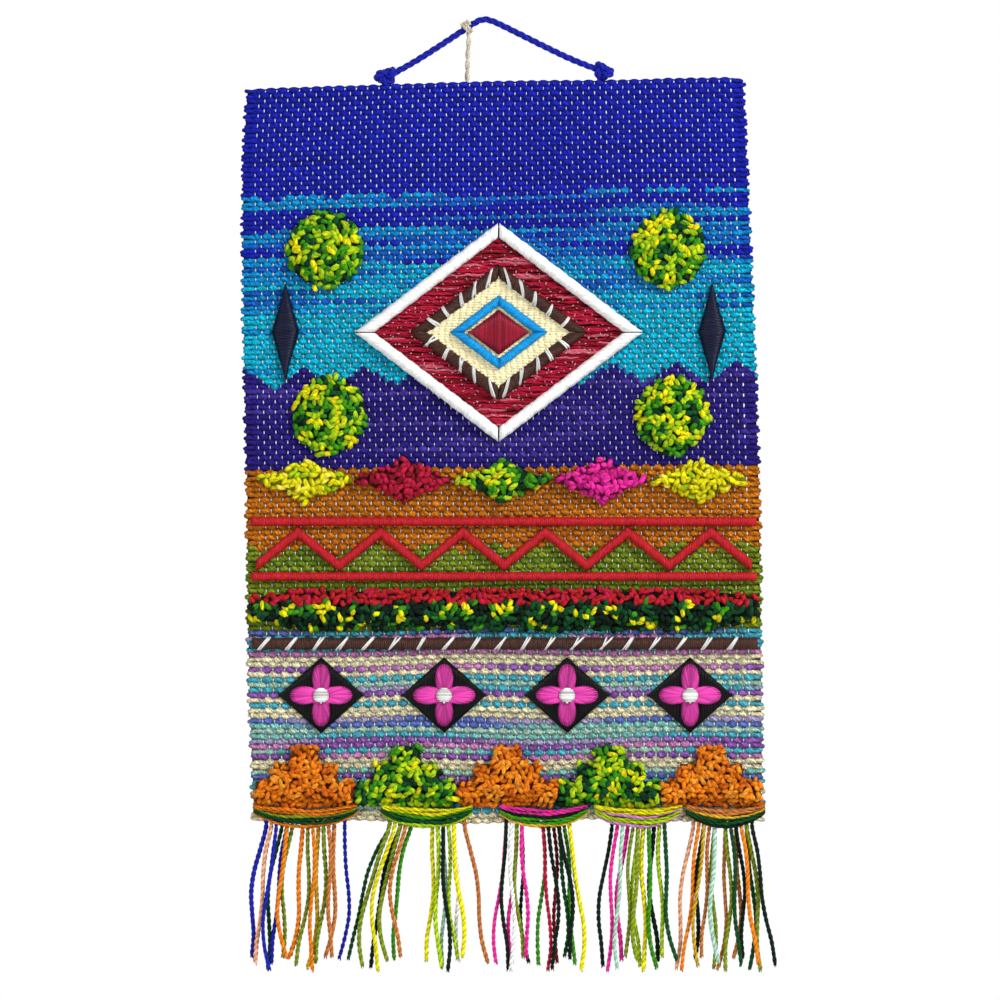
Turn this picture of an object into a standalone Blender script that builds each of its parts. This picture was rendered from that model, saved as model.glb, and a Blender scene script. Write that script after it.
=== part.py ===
"""A small hand-woven wall hanging in thick yarn, with raised embroidery, a hanging cord and a yarn fringe.

The cloth hangs in the XZ plane and faces -Y. The origin is the middle of the cloth's top edge, +Z is up
and +X is to the right of someone who looks at the front. Sizes are in metres. Every piece of embroidery
is laid on the cloth's front: it is drawn in cloth coordinates, x and z with a height above the cloth, and
on_cloth places it.
"""

import math

import bmesh
import bpy
from mathutils import Vector

# The woven cloth
CLOTH_LENGTH = 0.4305
CLOTH_THICKNESS = 0.004
CLOTH_COLUMNS = 14
CLOTH_ROWS = 20
TOP_TILT = 0.0070
TOP_CROWN = 0.0048
SIDE_CURL = 0.0030
LONG_WAVE = 0.0012
LONG_WAVE_LENGTH = 0.33
LONG_WAVE_SLANT = 8.0
CURL_WIDTH = 0.15

# The hand-beaten selvedges wander: how far they reach from the middle, at distances below the top edge
SELVEDGES = [
    {"down": 0.000, "left": 0.1462, "right": 0.1440},
    {"down": 0.045, "left": 0.1490, "right": 0.1460},
    {"down": 0.140, "left": 0.1485, "right": 0.1500},
    {"down": 0.240, "left": 0.1465, "right": 0.1535},
    {"down": 0.340, "left": 0.1455, "right": 0.1547},
    {"down": CLOTH_LENGTH, "left": 0.1425, "right": 0.1555},
]

# Sewn work: the gap that parts two solids, and the usual heights above the cloth
GAP = 0.0003
RIM = 0.0006
FIELD_HEIGHT = 0.0015
WRAP_WIDTH = 0.0070
WRAP_HEIGHT = 0.0044
THIN_WRAP_WIDTH = 0.0052
THIN_WRAP_HEIGHT = 0.0036
SIDE_MARGIN = 0.003

# The medallion of concentric diamonds. Each line of it is a share of the outermost diamond
MEDALLION_DOWN = 0.146
MEDALLION_HALF_WIDTH = 0.084
MEDALLION_HALF_HEIGHT = 0.064
WHITE_EDGE = 1.0
RED_FIELD = 0.855
BROWN_EDGE = 0.62
CREAM_FIELD = 0.474
BLUE_EDGE = 0.34
CENTRE_LOZENGE = 0.205
MITRE_GAP = 0.006
QUARTERS = {"upper_right": (1, 1), "lower_right": (1, -1), "lower_left": (-1, -1), "upper_left": (-1, 1)}

# Tufted rosettes and long lozenges beside the medallion
ROSETTE_ACROSS = 0.100
ROSETTE_DOWNS = (0.098, 0.194)
ROSETTE_RADIUS = 0.0215
ROSETTE_HEIGHT = 0.0075
NAVY_ACROSS = 0.124
NAVY_HALF_WIDTH = 0.008
NAVY_HALF_HEIGHT = 0.027
NAVY_HEIGHT = 0.0034

# A garland of tufted lozenges
GARLAND_DOWN = 0.232
GARLAND_COUNT = 5
GARLAND_PITCH = 0.0572
GARLAND_HALF_WIDTH = 0.0268
GARLAND_HALF_HEIGHT = 0.0115
GARLAND_HEIGHT = 0.0060
GARLAND_COLOURS = ("yellow", "crimson", "lime", "magenta", "yellow")

# The coral trellis: two rails with a zigzag between them
TRELLIS_UPPER_DOWN = 0.2560
TRELLIS_LOWER_DOWN = 0.2880
ZIGZAG_LEGS = 12

# The tufted band, and the brown rail below it
BAND_DOWN = 0.3065
BAND_HALF_HEIGHT = 0.0105
BAND_HEIGHT = 0.0070
BROWN_RAIL_DOWN = 0.3270

# Four satin flowers, each on a dark lozenge
FLOWER_DOWN = 0.3570
FLOWER_COUNT = 4
FLOWER_PITCH = 0.0715
FLOWER_HALF_WIDTH = 0.0245
FLOWER_HALF_HEIGHT = 0.0220
PETAL_LENGTH = 0.0180
PETAL_WAIST = 0.0062
PETAL_HEIGHT = 0.0024
BUTTON_RADIUS = 0.0042

# Tufted step motifs side by side along the bottom edge: where each level starts and ends, and how high it is
STEP_BOTTOM = 0.4195
STEP_LEVELS = [
    {"start": 0.00, "end": 0.18, "tall": 0.0125},
    {"start": 0.18, "end": 0.36, "tall": 0.0225},
    {"start": 0.36, "end": 0.64, "tall": 0.0325},
    {"start": 0.64, "end": 0.82, "tall": 0.0225},
    {"start": 0.82, "end": 1.00, "tall": 0.0125},
]
STEP_SLOPE = 0.012
STEP_HEIGHT = 0.0085
STEP_COLOURS = ("orange", "lime", "orange", "lime", "orange")

# Lumps of the tufted work
LUMP = 0.0008
LUMP_LENGTH = 0.0105

# The fringe: bundles of yarn couched along the bottom edge, with strands that hang in three layers
BUNDLES = [
    {"left": -0.1420, "right": -0.0810},
    {"left": -0.0676, "right": -0.0140},
    {"left": 0.0006, "right": 0.0530},
    {"left": 0.0560, "right": 0.1080},
    {"left": 0.1092, "right": 0.1560},
]
TUFTS = [
    {"bundle": 0, "strands": 7, "root": -0.126, "spread": 0.015, "tip": -0.132, "fan": 0.019, "bow": -0.003},
    {"bundle": 0, "strands": 7, "root": -0.1035, "spread": 0.017, "tip": -0.1075, "fan": 0.022, "bow": 0.0015},
    {"bundle": 0, "strands": 1, "root": -0.09, "spread": 0.0, "tip": -0.088, "fan": 0.0, "bow": 0.002},
    {"bundle": 1, "strands": 7, "root": -0.0575, "spread": 0.012, "tip": -0.069, "fan": 0.027, "bow": -0.0055},
    {"bundle": 1, "strands": 7, "root": -0.03, "spread": 0.013, "tip": -0.028, "fan": 0.018, "bow": 0.0},
    {"bundle": 1, "strands": 1, "root": -0.0175, "spread": 0.0, "tip": -0.003, "fan": 0.0, "bow": 0.001},
    {"bundle": 2, "strands": 7, "root": 0.01, "spread": 0.012, "tip": 0.0105, "fan": 0.018, "bow": -0.001},
    {"bundle": 2, "strands": 8, "root": 0.0335, "spread": 0.015, "tip": 0.037, "fan": 0.024, "bow": 0.002},
    {"bundle": 3, "strands": 12, "root": 0.082, "spread": 0.028, "tip": 0.0815, "fan": 0.04, "bow": -0.002},
    {"bundle": 4, "strands": 7, "root": 0.121, "spread": 0.012, "tip": 0.117, "fan": 0.023, "bow": -0.0015},
    {"bundle": 4, "strands": 9, "root": 0.14, "spread": 0.017, "tip": 0.144, "fan": 0.026, "bow": 0.0015},
]
BUNDLE_TOP = 0.4206
BUNDLE_DROOP = 0.0035
BUNDLE_HEIGHT = 0.0098
BUNDLE_END = 0.35
BUNDLE_CELL = 0.0031
LAYERS = 3
LAYER_DEPTH = 0.0025
STRAND_HALF = 0.00105
STRAND_STEPS = 6
STRAND_TIP_DOWN = 0.5125
STRAND_TIP_UNEVEN = 0.0042
STRAND_TIP_TURN = 7.3
STRAND_WAVE = 0.0022
STRAND_WAVE_TURN = 26.0
LAYER_TURN = 1.9
LAYER_LEAN = 0.0022
STRAND_INSET = 0.0002

# The hanging cord runs over a nail, from a knot on the top edge to a second knot. It is laid of three plies
CORD_DIAMETER = 0.0040
CORD_PLIES = 3
CORD_TWIST_LENGTH = 0.0135
CORD_STEPS_PER_SPAN = 8
CORD_ROUTE = [
    {"x": -0.0583, "y": -0.0004, "z": 0.0060},
    {"x": -0.0480, "y": -0.0003, "z": 0.0118},
    {"x": -0.0350, "y": 0.0000, "z": 0.0200},
    {"x": -0.0220, "y": 0.0004, "z": 0.0286},
    {"x": -0.0135, "y": 0.0006, "z": 0.0342},
    {"x": -0.0080, "y": 0.0007, "z": 0.0364},
    {"x": -0.0020, "y": 0.0006, "z": 0.0352},
    {"x": 0.0110, "y": 0.0004, "z": 0.0290},
    {"x": 0.0265, "y": 0.0000, "z": 0.0212},
    {"x": 0.0420, "y": -0.0003, "z": 0.0138},
    {"x": 0.0556, "y": -0.0004, "z": 0.0083},
]
KNOTS = [
    {"name": "knot_left", "x": -0.0647, "half_width": 0.0062, "half_height": 0.0042, "tilt": 0.35},
    {"name": "knot_right", "x": 0.0615, "half_width": 0.0058, "half_height": 0.0040, "tilt": -0.45},
]
KNOT_HALF_DEPTH = 0.0042
KNOT_RIDGE = 0.08

# A length of natural twine, hitched on the cord, that hangs down behind the cloth
HITCH_X = -0.0175
HITCH_HALF_WIDTH = 0.0017
HITCH_THICKNESS = 0.0013
TWINE_DIAMETER = 0.0026
TWINE_PLIES = 2
TWINE_TWIST_LENGTH = 0.0070
TWINE_STEPS_PER_SPAN = 5
TWINE_ROUTE = [
    {"x": -0.0166, "y": 0.0012, "z": 0.0235},
    {"x": -0.0170, "y": 0.0025, "z": 0.0165},
    {"x": -0.0173, "y": 0.0043, "z": 0.0090},
    {"x": -0.0174, "y": 0.0057, "z": 0.0010},
    {"x": -0.0172, "y": 0.0063, "z": -0.0080},
    {"x": -0.0168, "y": 0.0062, "z": -0.0180},
    {"x": -0.0166, "y": 0.0059, "z": -0.0290},
]

# A rope's section: how many points stand for each ply, and how far the plies swell
POINTS_PER_PLY = 4
PLY_SWELL = 0.12

# Colours as they look, in sRGB, with the roughness of the yarn
COLOURS = {
    "royal": (0.10, 0.10, 0.68, 0.85),
    "white": (0.95, 0.95, 0.93, 0.55),
    "crimson": (0.69, 0.13, 0.24, 0.80),
    "brown": (0.23, 0.14, 0.12, 0.55),
    "cream": (0.92, 0.89, 0.74, 0.80),
    "cyan": (0.04, 0.55, 0.82, 0.50),
    "lime": (0.42, 0.66, 0.12, 0.90),
    "navy": (0.06, 0.08, 0.18, 0.60),
    "yellow": (0.91, 0.86, 0.12, 0.90),
    "magenta": (0.79, 0.19, 0.56, 0.60),
    "coral": (0.85, 0.20, 0.24, 0.55),
    "green": (0.08, 0.32, 0.15, 0.90),
    "black": (0.04, 0.04, 0.06, 0.50),
    "orange": (0.94, 0.54, 0.11, 0.90),
    "blue_cord": (0.10, 0.13, 0.66, 0.75),
    "twine": (0.72, 0.69, 0.62, 0.85),
    "fringe": (0.45, 0.42, 0.12, 0.90),
}


def linear(channel):
    """An sRGB channel as the linear value that a shader wants."""
    return channel / 12.92 if channel <= 0.04045 else ((channel + 0.055) / 1.055) ** 2.4


def yarn(colour):
    """The material of one colour of yarn, made once."""
    made = bpy.data.materials.get(colour)
    if made:
        return made
    red, green, blue, roughness = COLOURS[colour]
    made = bpy.data.materials.new(colour)
    made.use_nodes = True
    shader = made.node_tree.nodes["Principled BSDF"]
    shader.inputs["Base Color"].default_value = (linear(red), linear(green), linear(blue), 1.0)
    shader.inputs["Roughness"].default_value = roughness
    shader.inputs["Metallic"].default_value = 0.0
    return made


def reach(side, down):
    """How far a selvedge lies from the middle, at a distance below the top edge."""
    for above, below in zip(SELVEDGES, SELVEDGES[1:]):
        if down <= below["down"]:
            share = max(0.0, (down - above["down"]) / (below["down"] - above["down"]))
            return above[side] + share * (below[side] - above[side])
    return SELVEDGES[-1][side]


def middle(down):
    """The x of the cloth's middle, at a distance below the top edge."""
    return (reach("right", down) - reach("left", down)) / 2


def cloth_y(x, z):
    """The y of the cloth's middle layer: its sides curl forward a little, and a long wave runs down it."""
    curl = -SIDE_CURL * (x / CURL_WIDTH) ** 2
    wave = LONG_WAVE * math.sin(2 * math.pi * z / LONG_WAVE_LENGTH + LONG_WAVE_SLANT * x)
    return curl + wave


def top_edge(x):
    """The z of the cloth's top edge, which rises from the left and levels out."""
    share = x / (2 * reach("left", 0.0))
    return TOP_TILT * share - TOP_CROWN * share * share


def on_cloth(x, z, height):
    """A point at a height above the cloth's front, and a gap off it."""
    return Vector((x, cloth_y(x, z) - CLOTH_THICKNESS / 2 - GAP - height, z))


def unevenness(x, z):
    """The lumps of tufted work, from -1 to 1."""
    turn = 2 * math.pi / LUMP_LENGTH
    across = math.sin(turn * x + 1.7 * math.sin(0.6 * turn * z))
    down = math.sin(turn * z + 1.3 * math.sin(0.7 * turn * x))
    return across * down


def add_object(name, bm, colour):
    """Turns a bmesh into a named object, with its origin at its middle, under the hanging's empty."""
    bmesh.ops.recalc_face_normals(bm, faces=bm.faces)
    points = [v.co.copy() for v in bm.verts]
    centre = sum(points, Vector()) / len(points)
    bmesh.ops.translate(bm, verts=bm.verts, vec=-centre)
    mesh = bpy.data.meshes.new(name)
    bm.to_mesh(mesh)
    bm.free()
    mesh.materials.append(yarn(colour))
    obj = bpy.data.objects.new(name, mesh)
    obj.location = centre
    obj.parent = bpy.data.objects["hanging"]
    bpy.context.scene.collection.objects.link(obj)
    return obj


def loft(name, sections, colour, apex=None):
    """A solid through closed sections of equal length: a face that is extruded from each to the next.

    With an apex, the last face is raised to that point.
    """
    bm = bmesh.new()
    place = bm.verts.layers.int.new("place")
    ring = [bm.verts.new(point) for point in sections[0]]
    for index, vert in enumerate(ring):
        vert[place] = index
    face = base = bm.faces.new(ring)
    for section in sections[1:]:
        made = bmesh.ops.extrude_face_region(bm, geom=[face])["geom"]
        if face is not base:
            bm.faces.remove(face)
        face = next(item for item in made if isinstance(item, bmesh.types.BMFace))
        for vert in face.verts:
            vert.co = section[vert[place]]
    if apex is not None:
        poked = bmesh.ops.poke(bm, faces=[face])
        poked["verts"][0].co = apex
    return add_object(name, bm, colour)


def arch(share):
    """The height of a round section across its width: 0 at its edges and 1 in the middle."""
    return math.sqrt(max(0.0, 1.0 - (2 * share - 1) ** 2))


def ridge(name, edges, colour, rise, base=0.0, across=4, lump=0.0):
    """A strip of work between two edges: pairs of (x, z) points along its length, one on each edge."""
    sections = []
    for one, other in edges:
        section = [on_cloth(*one, base)]
        for step in range(across + 1):
            share = step / across
            x = one[0] + share * (other[0] - one[0])
            z = one[1] + share * (other[1] - one[1])
            crown = arch(share)
            height = RIM + (rise - RIM) * crown + lump * crown * unevenness(x, z)
            section.append(on_cloth(x, z, base + height))
        section.append(on_cloth(*other, base))
        sections.append(section)
    return loft(name, sections, colour)


def boss(name, outline, centre, colour, rise, base=0.0, rings=(0.86, 0.6, 0.3), lump=0.0):
    """A crowned piece: rings of its outline that shrink towards the centre and rise."""
    sections = [[on_cloth(x, z, base) for x, z in outline]]
    for shrink in (1.0, *rings):
        section = []
        for x, z in outline:
            at_x = centre[0] + shrink * (x - centre[0])
            at_z = centre[1] + shrink * (z - centre[1])
            crown = math.sqrt(max(0.0, 1.0 - shrink * shrink))
            height = RIM + (rise - RIM) * crown + lump * crown * unevenness(at_x, at_z)
            section.append(on_cloth(at_x, at_z, base + height))
        sections.append(section)
    top = rise + lump * unevenness(*centre)
    return loft(name, sections, colour, apex=on_cloth(*centre, base + top))


def along(start, end, steps):
    """Points from start to end, both included."""
    return [
        (start[0] + (end[0] - start[0]) * i / steps, start[1] + (end[1] - start[1]) * i / steps)
        for i in range(steps + 1)
    ]


def make_cloth():
    """The woven cloth: a grid in its hanging shape, extruded to its thickness."""
    bm = bmesh.new()
    bmesh.ops.create_grid(bm, x_segments=CLOTH_COLUMNS, y_segments=CLOTH_ROWS, size=0.5)
    for vert in bm.verts:
        share, down = vert.co.x, (0.5 - vert.co.y) * CLOTH_LENGTH
        left, right = -reach("left", down), reach("right", down)
        x = left + (share + 0.5) * (right - left)
        z = top_edge(x) * (1 - down / CLOTH_LENGTH) - down
        vert.co = (x, cloth_y(x, z) - CLOTH_THICKNESS / 2, z)
    made = bmesh.ops.extrude_face_region(bm, geom=bm.faces[:])["geom"]
    back = [item for item in made if isinstance(item, bmesh.types.BMVert)]
    bmesh.ops.translate(bm, verts=back, vec=(0, CLOTH_THICKNESS, 0))
    return add_object("cloth", bm, "royal")


def medallion_point(side_x, side_z, share):
    """A corner of the medallion's diamonds. The sides are -1, 0 or 1, and share is the diamond's size."""
    down = MEDALLION_DOWN
    x = middle(down) + side_x * share * MEDALLION_HALF_WIDTH
    return (x, -down + side_z * share * MEDALLION_HALF_HEIGHT)


def medallion_bars(kind, colour, outer, width, rise, base):
    """Four mitred bars round a diamond, from its outer line inwards."""
    side = math.hypot(MEDALLION_HALF_WIDTH, MEDALLION_HALF_HEIGHT)
    inner = outer - width * side / (MEDALLION_HALF_WIDTH * MEDALLION_HALF_HEIGHT)
    for quarter, (side_x, side_z) in QUARTERS.items():
        edges = []
        for share in (MITRE_GAP, 0.25, 0.5, 0.75, 1 - MITRE_GAP):
            pair = []
            for line in (outer, inner):
                tip = medallion_point(0, side_z, line)
                corner = medallion_point(side_x, 0, line)
                pair.append((tip[0] + share * (corner[0] - tip[0]), tip[1] + share * (corner[1] - tip[1])))
            edges.append(pair)
        ridge(f"{kind}_{quarter}", edges, colour, rise, base)


def medallion_field(name, colour, share, rise, base, rings):
    """A diamond of filling stitches."""
    corners = [medallion_point(*side, share) for side in ((0, 1), (1, 0), (0, -1), (-1, 0))]
    outline = []
    for corner, after in zip(corners, corners[1:] + corners[:1]):
        outline += along(corner, after, 4)[:-1]
    boss(name, outline, medallion_point(0, 0, share), colour, rise, base, rings)


def make_medallion():
    """Concentric diamonds: each field is sewn on the one below it, and wrapped bars edge them."""
    medallion_bars("white_edge", "white", WHITE_EDGE, WRAP_WIDTH, WRAP_HEIGHT, 0.0)
    medallion_field("red_field", "crimson", RED_FIELD, RIM, 0.0, (0.6, 0.3))
    on_red = RIM + GAP
    medallion_bars("brown_bar", "brown", BROWN_EDGE, WRAP_WIDTH, WRAP_HEIGHT, on_red)
    medallion_field("cream_field", "cream", CREAM_FIELD, FIELD_HEIGHT, on_red, (0.96, 0.5))
    on_cream = on_red + FIELD_HEIGHT + GAP
    medallion_bars("blue_bar", "cyan", BLUE_EDGE, THIN_WRAP_WIDTH, THIN_WRAP_HEIGHT, on_cream)
    crown = THIN_WRAP_HEIGHT - GAP
    medallion_field("centre_lozenge", "crimson", CENTRE_LOZENGE, crown, on_cream, (0.9, 0.5))


def round_outline(centre, radius, points):
    """A circle's points."""
    turns = [2 * math.pi * i / points for i in range(points)]
    return [(centre[0] + radius * math.cos(a), centre[1] + radius * math.sin(a)) for a in turns]


def make_rosettes():
    """Four tufted rosettes at the medallion's corners."""
    number = 0
    for down in ROSETTE_DOWNS:
        for side in (-1, 1):
            number += 1
            centre = (middle(down) + side * ROSETTE_ACROSS, -down)
            outline = round_outline(centre, ROSETTE_RADIUS, 18)
            rings = (0.93, 0.74, 0.5, 0.25)
            boss(f"rosette_{number}", outline, centre, "lime", ROSETTE_HEIGHT, 0.0, rings, LUMP)


def lozenge_edges(centre, half_width, half_height, steps, blunt=0.06):
    """Pairs of points on the lower and upper edge of a lozenge that lies along x."""
    edges = []
    for i in range(steps + 1):
        share = 2 * i / steps - 1
        tall = half_height * max(blunt, 1 - abs(share))
        x = centre[0] + share * half_width
        edges.append(((x, centre[1] - tall), (x, centre[1] + tall)))
    return edges


def make_navy_lozenges():
    """Two long satin lozenges, between the rosettes of each side."""
    for side, word in ((-1, "left"), (1, "right")):
        centre = (middle(MEDALLION_DOWN) + side * NAVY_ACROSS, -MEDALLION_DOWN)
        upright = lozenge_edges((0, 0), NAVY_HALF_HEIGHT, NAVY_HALF_WIDTH, 8, 0.1)
        edges = [tuple((centre[0] + z, centre[1] + x) for x, z in pair) for pair in upright]
        ridge(f"navy_lozenge_{word}", edges, "navy", NAVY_HEIGHT)


def make_garland():
    """A row of tufted lozenges, end to end."""
    for number, colour in enumerate(GARLAND_COLOURS):
        offset = (number - (GARLAND_COUNT - 1) / 2) * GARLAND_PITCH
        centre = (middle(GARLAND_DOWN) + offset, -GARLAND_DOWN)
        edges = lozenge_edges(centre, GARLAND_HALF_WIDTH, GARLAND_HALF_HEIGHT, 10, 0.16)
        ridge(f"garland_{number + 1}", edges, colour, GARLAND_HEIGHT, across=6, lump=LUMP)


def rail(name, down, width, rise, colour, steps=14):
    """A wrapped rail from one selvedge to the other."""
    left = -reach("left", down) + SIDE_MARGIN
    right = reach("right", down) - SIDE_MARGIN
    edges = [
        ((x, z - width / 2), (x, z + width / 2))
        for x, z in along((left, -down), (right, -down), steps)
    ]
    ridge(name, edges, colour, rise)


def make_trellis():
    """Two coral rails, and the zigzag of one wrapped cord between them."""
    rail("coral_rail_upper", TRELLIS_UPPER_DOWN, THIN_WRAP_WIDTH, THIN_WRAP_HEIGHT, "coral")
    rail("coral_rail_lower", TRELLIS_LOWER_DOWN, THIN_WRAP_WIDTH, THIN_WRAP_HEIGHT, "coral")
    clear = THIN_WRAP_WIDTH / 2 + GAP
    high = -TRELLIS_UPPER_DOWN - clear
    low = -TRELLIS_LOWER_DOWN + clear
    left = -reach("left", TRELLIS_LOWER_DOWN) + 2 * SIDE_MARGIN
    right = reach("right", TRELLIS_LOWER_DOWN) - 2 * SIDE_MARGIN
    run = (right - left) / ZIGZAG_LEGS
    rise = high - low
    # A leg's width measured along z, so that its true width is the wrap's
    tall = THIN_WRAP_WIDTH * math.hypot(run, rise - THIN_WRAP_WIDTH) / run
    tall = min(tall, 0.45 * rise)
    edges = []
    for leg in range(ZIGZAG_LEGS + 1):
        x = left + leg * run
        z = (high - tall) if leg % 2 else low
        if edges:
            before_x, before_z = edges[-1][0]
            half = ((before_x + x) / 2, (before_z + z) / 2)
            edges.append((half, (half[0], half[1] + tall)))
        edges.append(((x, z), (x, z + tall)))
    ridge("coral_zigzag", edges, "coral", THIN_WRAP_HEIGHT)


def make_band():
    """A tufted band with wavy edges, and the brown rail below it."""
    left = -reach("left", BAND_DOWN) + SIDE_MARGIN
    right = reach("right", BAND_DOWN) - SIDE_MARGIN
    steps = 30
    edges = []
    for i, (x, z) in enumerate(along((left, -BAND_DOWN), (right, -BAND_DOWN), steps)):
        end = min(1.0, 0.55 + 0.2 * min(i, steps - i))
        upper = BAND_HALF_HEIGHT * end * (1 - 0.10 * math.sin(61 * x) ** 2)
        lower = BAND_HALF_HEIGHT * end * (1 - 0.10 * math.sin(73 * x + 1) ** 2)
        edges.append(((x, z - lower), (x, z + upper)))
    ridge("pile_band", edges, "green", BAND_HEIGHT, across=6, lump=LUMP)
    rail("brown_rail", BROWN_RAIL_DOWN, WRAP_WIDTH, WRAP_HEIGHT, "brown")


def petal_outline(centre):
    """Four pointed petals that meet at a waist, as points round their middle."""
    outline = []
    for i in range(24):
        turn = 2 * math.pi * i / 24
        radius = PETAL_WAIST + (PETAL_LENGTH - PETAL_WAIST) * abs(math.cos(2 * turn)) ** 1.6
        outline.append((centre[0] + radius * math.cos(turn), centre[1] + radius * math.sin(turn)))
    return outline


def make_flowers():
    """Four flowers: a dark satin lozenge, four satin petals on it, and a white button in the middle."""
    for number in range(FLOWER_COUNT):
        offset = (number - (FLOWER_COUNT - 1) / 2) * FLOWER_PITCH
        centre = (middle(FLOWER_DOWN) + offset, -FLOWER_DOWN)
        corners = [
            (centre[0], centre[1] + FLOWER_HALF_HEIGHT),
            (centre[0] + FLOWER_HALF_WIDTH, centre[1]),
            (centre[0], centre[1] - FLOWER_HALF_HEIGHT),
            (centre[0] - FLOWER_HALF_WIDTH, centre[1]),
        ]
        outline = []
        for corner, after in zip(corners, corners[1:] + corners[:1]):
            outline += along(corner, after, 3)[:-1]
        kind = f"flower_{number + 1}"
        boss(f"{kind}_ground", outline, centre, "black", RIM + GAP, 0.0, (0.85, 0.4))
        on_ground = RIM + 2 * GAP
        petals = petal_outline(centre)
        boss(f"{kind}_petals", petals, centre, "magenta", PETAL_HEIGHT, on_ground, (0.8, 0.4))
        on_petals = on_ground + PETAL_HEIGHT + GAP
        button = round_outline(centre, BUTTON_RADIUS, 10)
        boss(f"{kind}_button", button, centre, "white", FIELD_HEIGHT, on_petals, (0.8, 0.4))


def make_steps():
    """Tufted step motifs side by side along the bottom edge."""
    left = -reach("left", STEP_BOTTOM) + SIDE_MARGIN / 2
    right = reach("right", STEP_BOTTOM) - SIDE_MARGIN / 2
    width = (right - left) / len(STEP_COLOURS)
    for number, colour in enumerate(STEP_COLOURS):
        start = left + number * width + GAP
        edges = []
        for level in STEP_LEVELS:
            middle_share = (level["start"] + level["end"]) / 2
            for share in (level["start"] + STEP_SLOPE, middle_share, level["end"] - STEP_SLOPE):
                x = start + share * (width - 2 * GAP)
                edges.append(((x, -STEP_BOTTOM), (x, -STEP_BOTTOM + level["tall"])))
        ridge(f"step_{number + 1}", edges, colour, STEP_HEIGHT, across=6, lump=LUMP)


def droop(bundle, x):
    """How far a bundle hangs below its ends at x."""
    share = (x - bundle["left"]) / (bundle["right"] - bundle["left"])
    return BUNDLE_DROOP * max(0.0, 1 - (2 * share - 1) ** 2)


def strand_line(tuft, number, root_x):
    """The points down a strand's middle, as (x, z): straight down to below the bundle, then on."""
    layer = number % LAYERS
    tip_x = tuft["tip"] + strand_seat(tuft, number) * tuft["fan"] + (layer - 1) * LAYER_LEAN
    phase = LAYER_TURN * layer + STRAND_WAVE_TURN * tip_x
    tip_z = -STRAND_TIP_DOWN - STRAND_TIP_UNEVEN * math.sin(STRAND_TIP_TURN * (number + tip_x))
    start_z = -BUNDLE_TOP - BUNDLE_DROOP - BUNDLE_HEIGHT - GAP
    points = [(root_x, start_z)]
    for step in range(1, STRAND_STEPS + 1):
        share = step / STRAND_STEPS
        x = root_x + (tip_x - root_x) * share
        x += STRAND_WAVE * math.sin(2 * math.pi * share + phase) * math.sin(math.pi * share / 2)
        x += tuft["bow"] * math.sin(math.pi * share)
        points.append((x, start_z + (tip_z - start_z) * share))
    return points


def strand_seat(tuft, number):
    """A strand's place across its tuft, from -0.5 to 0.5."""
    return number / (tuft["strands"] - 1) - 0.5 if tuft["strands"] > 1 else 0.0


def bundle_grid(bundle, columns):
    """A bundle of yarn as a box of cells, in three layers, that droops and narrows towards its ends."""
    bm = bmesh.new()
    bmesh.ops.create_grid(bm, x_segments=columns, y_segments=LAYERS, size=0.5)
    made = bmesh.ops.extrude_face_region(bm, geom=bm.faces[:])["geom"]
    upper = {item for item in made if isinstance(item, bmesh.types.BMVert)}
    lower_faces = [f for f in bm.faces if all(v not in upper for v in f.verts)]
    for vert in bm.verts:
        share = vert.co.x
        x = bundle["left"] + (share + 0.5) * (bundle["right"] - bundle["left"])
        narrow = BUNDLE_END + (1 - BUNDLE_END) * arch(share + 0.5)
        z = -BUNDLE_TOP - droop(bundle, x)
        if vert not in upper:
            z -= BUNDLE_HEIGHT * narrow
        height = (vert.co.y + 0.5) * LAYERS * LAYER_DEPTH
        vert.co = on_cloth(x, z, height)
    bmesh.ops.recalc_face_normals(bm, faces=bm.faces)
    return bm, lower_faces


def make_fringe():
    """Each bundle with its strands: a cell's lower face is inset, then extruded down the strand's line."""
    for place, bundle in enumerate(BUNDLES):
        columns = round((bundle["right"] - bundle["left"]) / BUNDLE_CELL)
        bm, cells = bundle_grid(bundle, columns)
        free = {cell: cell.calc_center_median() for cell in cells}
        for tuft in (row for row in TUFTS if row["bundle"] == place):
            for number in range(tuft["strands"]):
                add_strand(bm, free, tuft, number)
        add_object(f"fringe_{place + 1}", bm, "fringe")


def add_strand(bm, free, tuft, number):
    """One strand, from the free cell of its layer that is nearest to where it is wanted."""
    wanted_x = tuft["root"] + strand_seat(tuft, number) * tuft["spread"]
    wanted_height = (number % LAYERS + 0.5) * LAYER_DEPTH

    def distance(cell):
        centre = free[cell]
        height = cloth_y(centre.x, centre.z) - CLOTH_THICKNESS / 2 - GAP - centre.y
        return abs(centre.x - wanted_x) + 10 * abs(height - wanted_height)

    face = min(free, key=distance)
    root = free.pop(face)
    bmesh.ops.inset_individual(bm, faces=[face], thickness=STRAND_INSET)
    for x, z in strand_line(tuft, number, root.x):
        middle_before = face.calc_center_median()
        face = bmesh.ops.extrude_discrete_faces(bm, faces=[face])["faces"][0]
        for vert in face.verts:
            side_x = math.copysign(STRAND_HALF, vert.co.x - middle_before.x)
            side_y = math.copysign(STRAND_HALF, vert.co.y - middle_before.y)
            vert.co = (x + side_x, root.y + side_y, z)


def places(route):
    """A route's rows as points."""
    return [Vector((row["x"], row["y"], row["z"])) for row in route]


def smooth_line(points, steps):
    """A smooth curve through points: a Catmull-Rom spline, with some steps in each span."""
    ends = [2 * points[0] - points[1], *points, 2 * points[-1] - points[-2]]
    line = []
    for p0, p1, p2, p3 in zip(ends, ends[1:], ends[2:], ends[3:]):
        for step in range(steps):
            t = step / steps
            line.append(
                0.5 * (2 * p1 + (p2 - p0) * t + (2 * p0 - 5 * p1 + 4 * p2 - p3) * t**2
                       + (3 * p1 - p0 - 3 * p2 + p3) * t**3)
            )
    return [*line, points[-1]]


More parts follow.
